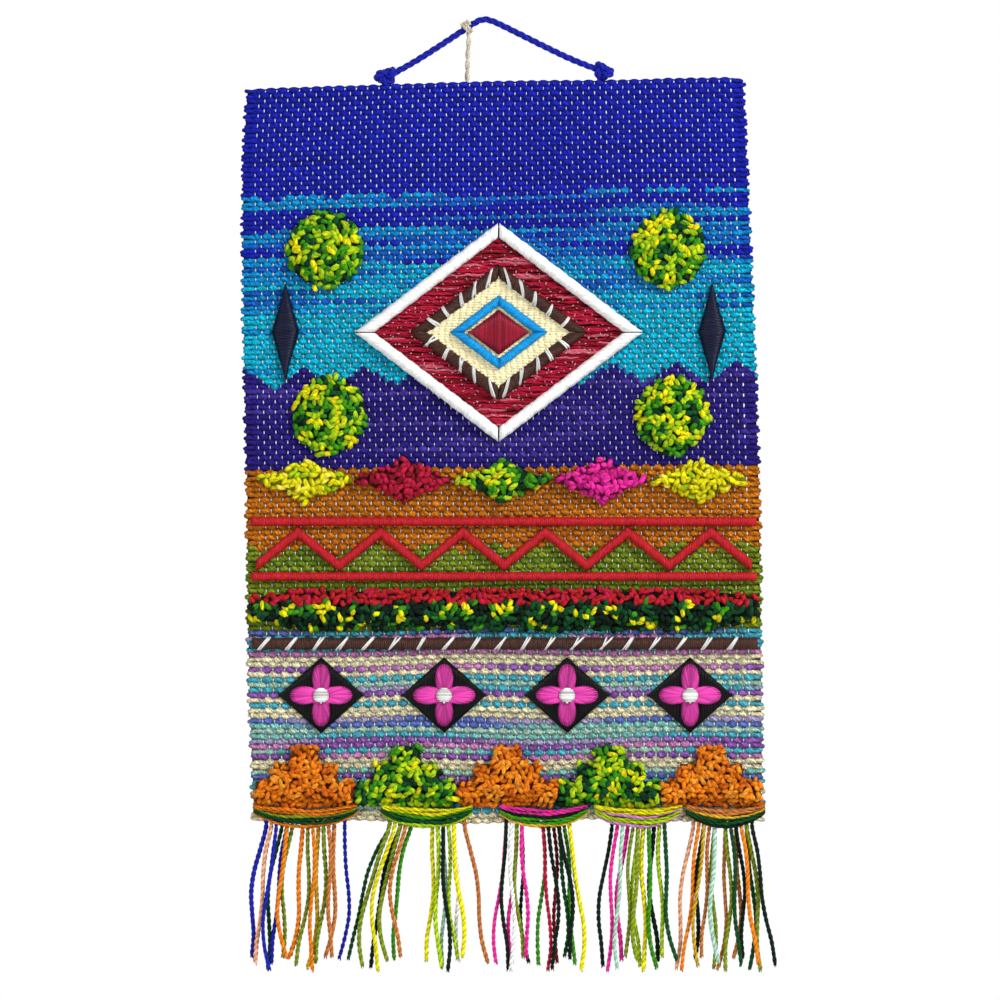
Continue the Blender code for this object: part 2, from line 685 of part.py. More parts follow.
def rope(name, line, diameter, plies, twist_length, colour):
    """A laid rope along a line: a lobed section, one lobe for each ply, that turns as it goes."""
    count = plies * POINTS_PER_PLY
    sections = []
    turn = 0.0
    side = Vector((0, 1, 0))
    for index, point in enumerate(line):
        before, after = line[max(0, index - 1)], line[min(len(line) - 1, index + 1)]
        ahead = (after - before).normalized()
        side = (side - ahead * side.dot(ahead)).normalized()
        other = ahead.cross(side)
        turn += 2 * math.pi * (point - before).length / twist_length
        section = []
        for step in range(count):
            angle = 2 * math.pi * step / count
            swell = 1 - PLY_SWELL + PLY_SWELL * math.cos(plies * (angle - turn))
            radius = diameter / 2 * swell
            section.append(point + radius * (math.cos(angle) * side + math.sin(angle) * other))
        sections.append(section)
    return loft(name, sections, colour)


def make_cord():
    """The hanging cord, and its two knots on the cloth's top edge."""
    line = smooth_line(places(CORD_ROUTE), CORD_STEPS_PER_SPAN)
    rope("hanging_cord", line, CORD_DIAMETER, CORD_PLIES, CORD_TWIST_LENGTH, "blue_cord")
    for row in KNOTS:
        bm = bmesh.new()
        bmesh.ops.create_uvsphere(bm, u_segments=12, v_segments=8, radius=1.0)
        cos_tilt, sin_tilt = math.cos(row["tilt"]), math.sin(row["tilt"])
        size = Vector((row["half_width"], KNOT_HALF_DEPTH, row["half_height"]))
        lowest = 0.0
        for vert in bm.verts:
            turn = math.atan2(vert.co.y, vert.co.x)
            swell = 1 + KNOT_RIDGE * math.cos(3 * turn + 4 * vert.co.z)
            x, y, z = (vert.co.x * size.x * swell, vert.co.y * size.y * swell, vert.co.z * size.z)
            vert.co = (x * cos_tilt - z * sin_tilt, y, x * sin_tilt + z * cos_tilt)
            lowest = min(lowest, vert.co.z)
        span = range(-5, 6)
        under = max(top_edge(row["x"] + row["half_width"] * i / 5) for i in span)
        bmesh.ops.translate(bm, verts=bm.verts, vec=(row["x"], 0.0, under + GAP - lowest))
        add_object(row["name"], bm, "blue_cord")


def make_twine():
    """The twine's hitch, a sleeve round the cord, and the tail that hangs from it behind the cloth."""
    bm = bmesh.new()
    inner = CORD_DIAMETER / 2 + GAP
    outer = inner + HITCH_THICKNESS
    profile = [
        bm.verts.new((radius, 0.0, along_cord))
        for radius, along_cord in (
            (inner, -HITCH_HALF_WIDTH),
            (outer, -HITCH_HALF_WIDTH / 2),
            (outer, HITCH_HALF_WIDTH / 2),
            (inner, HITCH_HALF_WIDTH),
        )
    ]
    rim = [bm.edges.new((a, b)) for a, b in zip(profile, profile[1:] + profile[:1])]
    bmesh.ops.spin(
        bm, geom=profile + rim, cent=(0, 0, 0), axis=(0, 0, 1), angle=2 * math.pi, steps=12, use_merge=True
    )
    bmesh.ops.remove_doubles(bm, verts=bm.verts, dist=1e-6)
    line = smooth_line(places(CORD_ROUTE), CORD_STEPS_PER_SPAN)
    near = min(range(1, len(line) - 1), key=lambda i: abs(line[i].x - HITCH_X))
    centre = line[near]
    direction = (line[near + 1] - line[near - 1]).normalized()
    turned = direction.to_track_quat("Z", "Y").to_matrix()
    bmesh.ops.rotate(bm, verts=bm.verts, cent=(0, 0, 0), matrix=turned)
    bmesh.ops.translate(bm, verts=bm.verts, vec=centre)
    add_object("twine_hitch", bm, "twine")
    under = (direction * direction.z - Vector((0, 0, 1))).normalized()
    lowest = centre + under * outer - direction * HITCH_HALF_WIDTH / 2
    start = lowest - Vector((0, 0, GAP))
    line = smooth_line([start, *places(TWINE_ROUTE)], TWINE_STEPS_PER_SPAN)
    rope("twine_tail", line, TWINE_DIAMETER, TWINE_PLIES, TWINE_TWIST_LENGTH, "twine")


def main():
    for obj in list(bpy.data.objects):
        bpy.data.objects.remove(obj)
    hanging = bpy.data.objects.new("hanging", None)
    bpy.context.scene.collection.objects.link(hanging)
    make_cloth()
    make_medallion()
    make_rosettes()
    make_navy_lozenges()
    make_garland()
    make_trellis()
    make_band()
    make_flowers()
    make_steps()
    make_fringe()
    make_cord()
    make_twine()


main()
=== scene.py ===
"""A hand-woven wall hanging: a cloth in thick yarn with raised embroidery, a hanging cord and a yarn fringe.

The cloth hangs in the XZ plane and faces -Y. The origin is the middle of its top edge. A place on the cloth
is given as a share of its width, a distance down from the top edge, and a height above its middle layer.
Yarn and thread are made as strands: a section is swept along each, and the strands of a piece are joined as
one mesh. Sizes are in metres. A pair of numbers named as a range holds the lowest and the highest value.
"""

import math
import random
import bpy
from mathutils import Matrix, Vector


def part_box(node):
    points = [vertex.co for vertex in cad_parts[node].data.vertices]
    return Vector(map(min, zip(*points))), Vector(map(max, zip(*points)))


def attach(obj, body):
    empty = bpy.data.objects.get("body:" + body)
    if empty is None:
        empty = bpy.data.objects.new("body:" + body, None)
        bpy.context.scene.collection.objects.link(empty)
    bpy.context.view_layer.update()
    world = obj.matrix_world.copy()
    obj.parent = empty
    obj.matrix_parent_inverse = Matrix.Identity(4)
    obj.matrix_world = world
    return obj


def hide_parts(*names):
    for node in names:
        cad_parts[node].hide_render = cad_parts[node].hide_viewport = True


bl_info = {
    "name": "Woven wall hanging",
    "version": (1, 0, 0),
    "blender": (4, 5, 0),
    "location": "3D View > Sidebar > Hanging",
    "description": "Weaves, stitches and tufts a wall hanging over its plain solids",
    "category": "Add Mesh",
}

import bmesh
import bpy
import numpy as np
from bpy.props import FloatProperty, FloatVectorProperty, IntProperty, PointerProperty
from mathutils import Vector, noise
from mathutils.bvhtree import BVHTree

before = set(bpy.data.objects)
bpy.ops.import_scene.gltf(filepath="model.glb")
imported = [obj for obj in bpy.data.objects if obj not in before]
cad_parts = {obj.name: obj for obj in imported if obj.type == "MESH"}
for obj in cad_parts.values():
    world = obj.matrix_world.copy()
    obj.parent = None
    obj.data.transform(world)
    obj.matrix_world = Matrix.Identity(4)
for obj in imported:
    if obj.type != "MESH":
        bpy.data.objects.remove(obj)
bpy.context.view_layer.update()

# The woven cloth, as its solid is
CLOTH_LENGTH = 0.4305
CLOTH_WIDTH = 0.3
CLOTH_THICKNESS = 0.004
TOP_TILT = 0.0070
TOP_CROWN = 0.0048
SIDE_CURL = 0.0030
LONG_WAVE = 0.0012
LONG_WAVE_LENGTH = 0.33
LONG_WAVE_SLANT = 8.0
CURL_WIDTH = 0.15
SELVEDGES = [
    {"down": 0.000, "left": 0.1462, "right": 0.1440},
    {"down": 0.045, "left": 0.1490, "right": 0.1460},
    {"down": 0.140, "left": 0.1485, "right": 0.1500},
    {"down": 0.240, "left": 0.1465, "right": 0.1535},
    {"down": 0.340, "left": 0.1455, "right": 0.1547},
    {"down": CLOTH_LENGTH, "left": 0.1425, "right": 0.1555},
]
SELVEDGE_FLOAT = 0.0082

# How the rows of picks wander, all together and each alone
ROW_WANDER = 0.0009
WANDER_TOP = 0.3
WANDER_GROWTH = 1.4
WANDER_WAVES_ACROSS = 1.7
WANDER_WAVES_DOWN = 6.0
PICK_WOBBLE = 0.00012

# A pick from one warp thread that it dips behind to the next: places counted in warp threads, heights as
# shares of the weave's depth, thickness, and its painted shade at the front and at the back: each side is
# darker where the pick lies away from it, as shade falls between the rows
PICK_PLACES = np.array([0.0, 0.28, 0.76, 1.24, 1.72])
PICK_HEIGHT = np.array([-1.0, 0.30, 1.0, 1.0, 0.30])
PICK_SIZE = np.array([0.98, 1.10, 1.50, 1.50, 1.10])
PICK_SHADE = np.array([0.30, 0.84, 1.0, 1.0, 0.84])
PICK_BACK_SHADE = np.array([1.05, 0.80, 0.40, 0.40, 0.80])
PICK_SIZE_SPREAD = 0.035
PICK_SHADE_SPREAD = 0.05
PICK_RADIUS_RANGE = (0.98, 1.03)
PICK_REACH = 0.7
PICK_FLATNESS = 0.61
# Painted shade of a pick where it reaches past the outer warp threads
BEYOND_SHADE = 0.95

# A pick's turn at the selvedge, from its end inwards: distances in, heights as shares of the weave's depth,
# thickness, how far it bends towards the next pick as shares of the pitch, and its painted shade, darkest at
# the end where it turns round
SELVEDGE_TURN = np.array([0.0, 0.0006, 0.0021, 0.0044])
TURN_HEIGHT = np.array([-0.1, 0.0, 0.1, 0.1])
TURN_SIZE = np.array([0.45, 0.92, 1.12, 0.98])
TURN_DROP = np.array([0.34, 0.24, 0.08, 0.0])
TURN_SHADE = np.array([0.45, 0.85, 1.0, 0.95])
TURN_PLACE_RANGE = (-0.0008, 0.0009)
TURN_SIZE_RANGE = (0.85, 1.12)

# A warp thread: how far it shows to each side of a pick, as a share of the pitch, its heights at the front
# and at the back, and how much of the ground's dye it takes
WARP_SHOWS = 0.09
WARP_FRONT = 0.00064
WARP_BACK = -0.00085
WARP_STAIN = 0.16

# The thin sheet in the middle of the cloth, dark as painted shade in the gaps between the yarns
SHEET_START = 0.004
SHEET_SPAN = 0.992
SHEET_TOP = 0.0010
SHEET_LENGTH = 0.9890
SHEET_HEIGHT = 0.0004
SHEET_THICKNESS = 0.0008
SHEET_SHADE = 0.12

# The ground's colours: how far down each stretch reaches, how far apart its picks are, its dyes, how much of
# the second and third dye there is, and how long a run of one dye is. The border is how high its upper edge
# is toothed. The last stretch has no run: it is striped in cream and pastels
GROUND = [
    {"to": 0.0660, "pitch": 0.00288, "dyes": ("royal", "ultramarine", "royal"), "second": 0.15, "third": 0.0,
     "run": 0.090, "border": 0.0},
    {"to": 0.0820, "pitch": 0.00276, "dyes": ("royal", "ocean", "azure"), "second": 0.34, "third": 0.14,
     "run": 0.070, "border": 0.004},
    {"to": 0.1060, "pitch": 0.00276, "dyes": ("azure", "ocean", "royal"), "second": 0.40, "third": 0.26,
     "run": 0.055, "border": 0.0},
    {"to": 0.1330, "pitch": 0.00280, "dyes": ("ocean", "azure", "teal"), "second": 0.36, "third": 0.20,
     "run": 0.055, "border": 0.0},
    {"to": 0.1760, "pitch": 0.00290, "dyes": ("teal", "ocean", "teal"), "second": 0.14, "third": 0.0,
     "run": 0.045, "border": 0.0},
    {"to": 0.2230, "pitch": 0.00300, "dyes": ("indigo", "violet", "indigo"), "second": 0.18, "third": 0.0,
     "run": 0.050, "border": 0.012},
    {"to": 0.2740, "pitch": 0.00316, "dyes": ("ochre", "tan", "ochre"), "second": 0.25, "third": 0.0,
     "run": 0.040, "border": 0.0},
    {"to": 0.3190, "pitch": 0.00312, "dyes": ("olive", "moss", "olive"), "second": 0.30, "third": 0.0,
     "run": 0.035, "border": 0.006},
    {"to": 1.0, "pitch": 0.00302, "dyes": ("cream", "cream", "cream"), "second": 0.0, "third": 0.0,
     "run": 0.0, "border": 0.0},
]
TOOTH_WIDTH = 0.036
PASTELS = ("pool", "mint", "lilac", "mauve", "plum", "periwinkle", "pool", "seafoam")
CREAM_EVERY = 5
CREAM_PICKS = (3, 4)
CREAM_CHANCE = 0.12
CREAM_SHADE_RANGE = (0.92, 1.06)
PASTEL_WAVES_RANGE = (0.8, 2.6)
PASTEL_BLEND = 2.6
RUN_BLEND = 0.06
RUN_LENGTH_RANGE = (0.4, 1.8)
RUN_SHADE_RANGE = (0.90, 1.10)

# Sewn work
GAP = 0.0003
RIM = 0.0006
FIELD_HEIGHT = 0.0015
WRAP_WIDTH = 0.0070
WRAP_HEIGHT = 0.0044
THIN_WRAP_WIDTH = 0.0052
THIN_WRAP_HEIGHT = 0.0036
SIDE_MARGIN = 0.003
MEDALLION_DOWN = 0.146
MEDALLION_HALF_WIDTH = 0.084
MEDALLION_HALF_HEIGHT = 0.064
WHITE_EDGE = 1.0
RED_FIELD = 0.855
BROWN_EDGE = 0.62
CREAM_FIELD = 0.53
BLUE_EDGE = 0.34
CENTRE_LOZENGE = 0.205
HIDDEN = 0.57
MITRE_GAP = 0.006
QUARTERS = {"upper_right": (1, 1), "lower_right": (1, -1), "lower_left": (-1, -1), "upper_left": (-1, 1)}
TRELLIS_UPPER_DOWN = 0.2560
TRELLIS_LOWER_DOWN = 0.2880
ZIGZAG_LEGS = 12
BAND_DOWN = 0.3065
BROWN_RAIL_DOWN = 0.3270

# Wrapped bars. The looks of a dye are how strongly the turns of its thread show, with their streaks and the
# painted shade between them, and how dark the painted shade at its edges is
WRAP_LOOKS = {"white": (0.12, 0.22), "brown": (0.60, 0.55), "cyan": (0.42, 0.50), "coral": (0.42, 0.60)}
BAR_SWELL = 0.07
BAR_END_FALL = 0.35
BAR_END_STEPS = 1.5
BAR_WAVER = 0.022
BAR_FINE_WAVER = 0.018

# White threads lashed over the brown bars and the brown rail
BAR_LASHING_SPACING = 0.0105
RAIL_LASHING_SPACING = 0.0150
LASHING_LEAN = 0.0062
LASHING_LEAN_RANGE = (0.6, 1.2)
LASHING_JITTER = 0.12
LASHING_APART = 0.0003
LASHING_CROSS_RANGE = (0.0, 0.0008)
LASHING_LIFT = 0.0003
LASHING_RADIUS = 0.00062

# Long stitches, with flecks of white thread between them
STITCH_ROW_PITCH = 0.00122
STITCH_LENGTH_RANGE = (0.010, 0.030)
STITCH_SHORTEST = 0.002
STITCH_STEP = 0.0022
STITCH_OVERLAP = 0.0006
STITCH_BEND = 0.0008
STITCH_WOBBLE = 0.0003
STITCH_LIFT = 0.0004
STITCH_LIFT_RANGE = (0.0003, 0.0010)
STITCH_RADIUS_RANGE = (0.00062, 0.00092)
STITCH_MIX = (("crimson", 12), ("brick", 6), ("rose", 3))
STITCH_SHADE_RANGE = (0.82, 1.15)
FLECK_SPACING = 0.0038
FLECK_MARGIN = 0.002
FLECK_LENGTH_RANGE = (0.0005, 0.0015)
FLECK_HEIGHT = 0.0021
FLECK_RADII = (0.00016, 0.00028, 0.00016)
FLECK_SHADE_RANGE = (0.45, 0.95)

# Chain stitches: rows of links, each of two bowed sides
CHAIN_PITCH = 0.0031
CHAIN_LINK = 0.0036
CHAIN_OVERLAP = 1.25
CHAIN_NARROW = 0.12
CHAIN_BOW = 0.18
CHAIN_UNEVEN_X = 0.00012
CHAIN_UNEVEN_Z = 0.00010
CHAIN_LIFT = 0.0006
CHAIN_RADIUS = 0.00112
CHAIN_SHADE_RANGE = (0.86, 1.06)

# Satin stitch
NAVY_ACROSS = 0.124
NAVY_HALF_WIDTH = 0.008
NAVY_HALF_HEIGHT = 0.027
NAVY_HEIGHT = 0.0034
FLOWER_DOWN = 0.3570
FLOWER_COUNT = 4
FLOWER_PITCH = 0.0715
FLOWER_HALF_WIDTH = 0.0245
FLOWER_HALF_HEIGHT = 0.0220
PETAL_LENGTH = 0.0180
PETAL_WAIST = 0.0062
PETAL_HEIGHT = 0.0024
PETAL_TURN = math.radians(3.6)
PETAL_POINT = 1.6
PETAL_START = 0.0012
BUTTON_RADIUS = 0.0042
BUTTON_EDGE = 0.0003
SATIN_RADIUS = 0.64
SATIN_RISE_RANGE = (0.90, 1.03)
SATIN_SIZE_RANGE = (0.85, 1.15)
SATIN_SHADE_RANGE = (0.62, 1.16)

# The tufted pieces: their nodes and material slots, the dye of the mound under the loops, which shows
# darkened as painted shade between them, and the dyes of the loops, with how many of each there are. The
# scale is that of the loops and of their yarn
LEAF_MIX = (("lemon", 4), ("lime", 5), ("leaf", 4), ("forest", 3), ("bottle", 2))
LEMON_MIX = (("butter", 2), ("lemon", 7), ("lime", 2))
ORANGE_MIX = (("amber", 3), ("orange", 6), ("rust", 3))
PILES = [
    {"node": "rosette_1", "slot": "rosette_pile", "mound": "forest", "mix": LEAF_MIX},
    {"node": "rosette_2", "slot": "rosette_pile", "mound": "forest", "mix": LEAF_MIX},
    {"node": "rosette_3", "slot": "rosette_pile", "mound": "forest", "mix": LEAF_MIX},
    {"node": "rosette_4", "slot": "rosette_pile", "mound": "forest", "mix": LEAF_MIX},
    {"node": "garland_1", "slot": "yellow_pile", "mound": "lemon", "mix": LEMON_MIX},
    {"node": "garland_2", "slot": "crimson_pile", "mound": "brick",
     "mix": (("coral", 2), ("crimson", 6), ("brick", 3))},
    {"node": "garland_3", "slot": "rosette_pile", "mound": "forest", "mix": LEAF_MIX},
    {"node": "garland_4", "slot": "magenta_pile", "mound": "fuchsia",
     "mix": (("magenta", 6), ("fuchsia", 4))},
    {"node": "garland_5", "slot": "yellow_pile", "mound": "lemon", "mix": LEMON_MIX},
    {"node": "pile_band", "slot": "band_pile", "mound": "pine",
     "mix": (("lemon", 5), ("leaf", 2), ("forest", 5), ("pine", 8))},
    {"node": "step_1", "slot": "orange_pile", "mound": "rust", "mix": ORANGE_MIX, "scale": 0.92},
    {"node": "step_2", "slot": "rosette_pile", "mound": "forest", "mix": LEAF_MIX},
    {"node": "step_3", "slot": "orange_pile", "mound": "rust", "mix": ORANGE_MIX, "scale": 0.92},
    {"node": "step_4", "slot": "rosette_pile", "mound": "forest", "mix": LEAF_MIX},
    {"node": "step_5", "slot": "orange_pile", "mound": "rust", "mix": ORANGE_MIX, "scale": 0.92},
]
BAND_TRIM = (("coral", 5), ("crimson", 2))
BAND_TRIM_FROM = 0.0032
BAND_TRIM_WAVE = 0.0008
BAND_TRIM_WAVES = 300

# The loops: how their dyes gather in patches, their rows and sizes, how far each bends to either side, in
# degrees, and the mound under them, darkened as painted shade between the loops
PATCH_SCALE = 130.0
PATCH_PLACE = Vector((3.7, 1.3, 0.0))
PATCH_STRENGTH = 0.75
PATCH_STRAY = 0.28
LOOP_SHADE_RANGE = (0.80, 1.18)
LOOP_ROW_PITCH = 0.84
LOOP_JITTER = 0.3
LOOP_HALF_WIDTH_RANGE = (0.0016, 0.0029)
LOOP_RISE_RANGE = (0.0012, 0.0022)
LOOP_THICKNESS_RANGE = (0.85, 1.15)
LOOP_OUT_RANGE = (0.0, 0.0011)
LOOP_TURN = 100
LOOP_POINTS = 6
LOOP_FLATNESS = 0.82
MOUND_INSET = 0.0009
MOUND_SHARE = 0.62
MOUND_SHADE = 0.22

# The fringe, as its solid is
BUNDLES = [
    {"left": -0.1420, "right": -0.0810, "wraps": ("orange", "olive", "forest", "orange")},
    {"left": -0.0676, "right": -0.0140, "wraps": ("lemon", "leaf", "forest", "lime")},
    {"left": 0.0006, "right": 0.0530, "wraps": ("magenta", "pine", "leaf", "gold")},
    {"left": 0.0560, "right": 0.1080, "wraps": ("lemon", "mauve", "lime", "mauve")},
    {"left": 0.1092, "right": 0.1560, "wraps": ("copper", "gold", "forest", "pine")},
]
TUFTS = [
    {"bundle": 0, "strands": 7, "root": -0.126, "spread": 0.015, "tip": -0.132, "fan": 0.019, "bow": -0.003,
     "dyes": ("cord", "peach", "cord", "forest", "cord", "orange", "olive")},
    {"bundle": 0, "strands": 7, "root": -0.1035, "spread": 0.017, "tip": -0.1075, "fan": 0.022, "bow": 0.0015,
     "dyes": ("orange", "olive", "orange", "gold", "olive", "copper", "copper")},
    {"bundle": 0, "strands": 1, "root": -0.09, "spread": 0.0, "tip": -0.088, "fan": 0.0, "bow": 0.002,
     "dyes": ("cord",)},
    {"bundle": 1, "strands": 7, "root": -0.0575, "spread": 0.012, "tip": -0.069, "fan": 0.027, "bow": -0.0055,
     "dyes": ("forest", "olive", "lemon", "pine", "olive", "copper", "leaf")},
    {"bundle": 1, "strands": 7, "root": -0.03, "spread": 0.013, "tip": -0.028, "fan": 0.018, "bow": 0.0,
     "dyes": ("lemon", "lime", "pine", "seafoam", "lime", "lemon", "white")},
    {"bundle": 1, "strands": 1, "root": -0.0175, "spread": 0.0, "tip": -0.003, "fan": 0.0, "bow": 0.001,
     "dyes": ("copper",)},
    {"bundle": 2, "strands": 7, "root": 0.01, "spread": 0.012, "tip": 0.0105, "fan": 0.018, "bow": -0.001,
     "dyes": ("magenta", "pine", "white", "magenta", "olive", "magenta", "pine")},
    {"bundle": 2, "strands": 8, "root": 0.0335, "spread": 0.015, "tip": 0.037, "fan": 0.024, "bow": 0.002,
     "dyes": ("leaf", "crimson", "pine", "brick", "forest", "pine", "leaf", "lemon")},
    {"bundle": 3, "strands": 12, "root": 0.082, "spread": 0.028, "tip": 0.0815, "fan": 0.04, "bow": -0.002,
     "dyes": ("pine", "magenta", "seafoam", "magenta", "olive", "olive", "lime", "lemon", "leaf", "pine",
              "lime", "forest")},
    {"bundle": 4, "strands": 7, "root": 0.121, "spread": 0.012, "tip": 0.117, "fan": 0.023, "bow": -0.0015,
     "dyes": ("peach", "orange", "gold", "pine", "copper", "seafoam", "olive")},
    {"bundle": 4, "strands": 9, "root": 0.14, "spread": 0.017, "tip": 0.144, "fan": 0.026, "bow": 0.0015,
     "dyes": ("copper", "olive", "forest", "copper", "pine", "orange", "forest", "olive", "pine")},
]
BUNDLE_TOP = 0.4206
BUNDLE_DROOP = 0.0035
BUNDLE_HEIGHT = 0.0098
BUNDLE_END = 0.35
BUNDLE_CELL = 0.0031
TUCK_HEIGHT = 0.0026
LAYERS = 3
LAYER_DEPTH = 0.0025
STRAND_STEPS = 6
STRAND_TIP_DOWN = 0.5125
STRAND_TIP_UNEVEN = 0.0042
STRAND_TIP_TURN = 7.3
STRAND_WAVE = 0.0022
STRAND_WAVE_TURN = 26.0
LAYER_TURN = 1.9
LAYER_LEAN = 0.0022

# The fringe's yarn: how its strands leave a bundle, their frayed tips, and the yarns along the cloth's edge
ROOT_STRAIGHT = 0.006
ROOT_UNDER = 0.0035
ROOT_LEAST = 0.002
STRAND_SWAY = 0.0006
STRAND_SWAY_STEP = 1.3
STRAND_TWIST_RANGE = (0.0066, 0.0080)
STRAND_RADIUS_RANGE = (0.9, 1.1)
STRAND_SHADE_RANGE = (0.88, 1.1)
TIP_FIBRES = 7
TIP_FIBRE_OUT = 0.0006
TIP_FIBRE_START = 0.0014
TIP_FIBRE_LENGTH_RANGE = (0.0018, 0.0030)
TIP_FIBRE_RADII = (0.00045, 0.00036, 0.00014)
SWAG_INSET = 0.0004
SWAG_POINTS = 42
SWAG_ROWS = 5
SWAG_HEIGHTS = (0.30, 0.68)
SWAG_TWIST_LENGTH = 0.0085
SWAG_LEAST_RADIUS = 0.00075
SWAG_END_RADIUS = 0.0004
SWAG_RADIUS_RANGE = (0.9, 1.15)
SWAG_SHADE_RANGE = (0.80, 1.12)

# The hanging cord and the twine on it
CORD_DIAMETER = 0.0040
CORD_PLIES = 3
CORD_TWIST_LENGTH = 0.0135
CORD_SHADES = (1.0, 0.85, 1.12)
CORD_INTO_KNOT = 1.3
CORD_ROUTE = [
    {"x": -0.0583, "y": -0.0004, "z": 0.0060},
    {"x": -0.0480, "y": -0.0003, "z": 0.0118},
    {"x": -0.0350, "y": 0.0000, "z": 0.0200},
    {"x": -0.0220, "y": 0.0004, "z": 0.0286},
    {"x": -0.0135, "y": 0.0006, "z": 0.0342},
    {"x": -0.0080, "y": 0.0007, "z": 0.0364},
    {"x": -0.0020, "y": 0.0006, "z": 0.0352},
    {"x": 0.0110, "y": 0.0004, "z": 0.0290},
    {"x": 0.0265, "y": 0.0000, "z": 0.0212},
    {"x": 0.0420, "y": -0.0003, "z": 0.0138},
    {"x": 0.0556, "y": -0.0004, "z": 0.0083},
]
KNOT_TILTS = {"knot_left": 0.35, "knot_right": -0.45}
KNOT_INSET = 0.0004
KNOT_HALF_DEPTH = 0.0026
KNOT_ROPE = 0.0046
KNOT_TWIST_LENGTH = 0.012
HITCH_X = -0.0175
HITCH_WINDING = 5 * math.pi
HITCH_CLEAR = 0.0010
HITCH_LENGTH = 0.0044
HITCH_ROPE = 0.0022
HITCH_TWIST_LENGTH = 0.005
TWINE_DIAMETER = 0.0026
TWINE_PLIES = 2
TWINE_TWIST_LENGTH = 0.0130
TWINE_LOOSENESS = 1.2
TWINE_SHADES = (1.0, 0.8)
TWINE_START = 0.0010
TWINE_ROUTE = [
    {"x": -0.0166, "y": 0.0012, "z": 0.0235},
    {"x": -0.0170, "y": 0.0025, "z": 0.0165},
    {"x": -0.0173, "y": 0.0043, "z": 0.0090},
    {"x": -0.0174, "y": 0.0057, "z": 0.0010},
    {"x": -0.0172, "y": 0.0063, "z": -0.0080},
    {"x": -0.0168, "y": 0.0062, "z": -0.0180},
    {"x": -0.0166, "y": 0.0059, "z": -0.0290},
]

# The view
VIEW_HEIGHT = 0.5825
VIEW_CENTRE = (0.0017, -0.2435)
VIEW_DISTANCE = 3.0
FLOOR_Z = -0.7200
FLOOR_RADIUS = 1.85
FLOOR_COLOUR = (0.90, 0.90, 0.90)
AMBIENT = 0.50
LAMP_AIM = (0.0, 0.0, -0.24)
LAMPS = [
    {"name": "key", "place": (1.5, -1.3, 1.3), "size": 0.7, "power": 64.0},
    {"name": "fill", "place": (-1.6, -1.9, 0.1), "size": 1.4, "power": 13.0},
    {"name": "back", "place": (-1.2, 1.8, 0.7), "size": 1.4, "power": 34.0},
]

# The share of a painting map's height that a piece's strands take up. The rest is for their backing
STRANDS_SHARE = 0.93


# Colours and settings


def dye(name, red, green, blue):
    """A colour that a user may change, given as it looks."""
    return FloatVectorProperty(
        name=name, description=f"The colour of {name.lower()} yarn", default=(red, green, blue),
        subtype="COLOR_GAMMA", size=3, min=0.0, max=1.0,
    )


class HangingDyes(bpy.types.PropertyGroup):
    """Colours of the yarns and threads"""

    royal: dye("Royal blue", 0.09, 0.13, 0.72)
    ultramarine: dye("Ultramarine", 0.09, 0.12, 0.66)
    azure: dye("Azure", 0.05, 0.38, 0.80)
    ocean: dye("Ocean blue", 0.03, 0.57, 0.85)
    teal: dye("Teal", 0.02, 0.73, 0.87)
    indigo: dye("Indigo", 0.17, 0.11, 0.52)
    violet: dye("Violet", 0.27, 0.20, 0.62)
    ochre: dye("Ochre", 0.82, 0.47, 0.08)
    tan: dye("Tan", 0.75, 0.42, 0.07)
    olive: dye("Olive", 0.50, 0.58, 0.12)
    moss: dye("Moss", 0.40, 0.52, 0.10)
    cream: dye("Cream", 0.95, 0.91, 0.74)
    pool: dye("Pool blue", 0.30, 0.70, 0.78)
    mint: dye("Mint", 0.50, 0.78, 0.74)
    seafoam: dye("Seafoam", 0.66, 0.82, 0.74)
    lilac: dye("Lilac", 0.66, 0.62, 0.78)
    mauve: dye("Mauve", 0.80, 0.52, 0.74)
    plum: dye("Plum", 0.58, 0.36, 0.70)
    periwinkle: dye("Periwinkle", 0.38, 0.46, 0.78)
    white: dye("White", 0.95, 0.95, 0.94)
    warp: dye("Warp white", 0.93, 0.97, 1.00)
    crimson: dye("Crimson", 0.72, 0.10, 0.23)
    brick: dye("Brick red", 0.50, 0.06, 0.12)
    rose: dye("Rose", 0.84, 0.38, 0.46)
    coral: dye("Coral red", 0.71, 0.11, 0.15)
    brown: dye("Dark brown", 0.27, 0.17, 0.14)
    cyan: dye("Cyan", 0.05, 0.58, 0.86)
    lime: dye("Lime", 0.66, 0.80, 0.08)
    lemon: dye("Lemon", 0.90, 0.87, 0.06)
    butter: dye("Butter", 0.96, 0.91, 0.28)
    leaf: dye("Leaf green", 0.24, 0.56, 0.08)
    forest: dye("Forest green", 0.06, 0.30, 0.14)
    bottle: dye("Bottle green", 0.04, 0.20, 0.10)
    pine: dye("Black green", 0.04, 0.12, 0.08)
    magenta: dye("Magenta", 0.93, 0.18, 0.62)
    fuchsia: dye("Fuchsia", 0.76, 0.10, 0.48)
    pink: dye("Bright pink", 0.91, 0.26, 0.69)
    orange: dye("Orange", 0.92, 0.50, 0.08)
    amber: dye("Amber", 0.96, 0.60, 0.16)
    rust: dye("Rust", 0.80, 0.38, 0.05)
    copper: dye("Copper", 0.76, 0.46, 0.22)
    gold: dye("Golden", 0.82, 0.66, 0.16)
    peach: dye("Peach", 0.92, 0.66, 0.50)
    black: dye("Black", 0.02, 0.02, 0.03)
    navy: dye("Navy", 0.05, 0.08, 0.20)
    cord: dye("Cord blue", 0.10, 0.13, 0.64)
    twine: dye("Natural twine", 0.86, 0.82, 0.73)


def yarn_size(name, description, default):
    """A size that a user may change."""
    return FloatProperty(name=name, description=description, default=default, unit="LENGTH", precision=5)


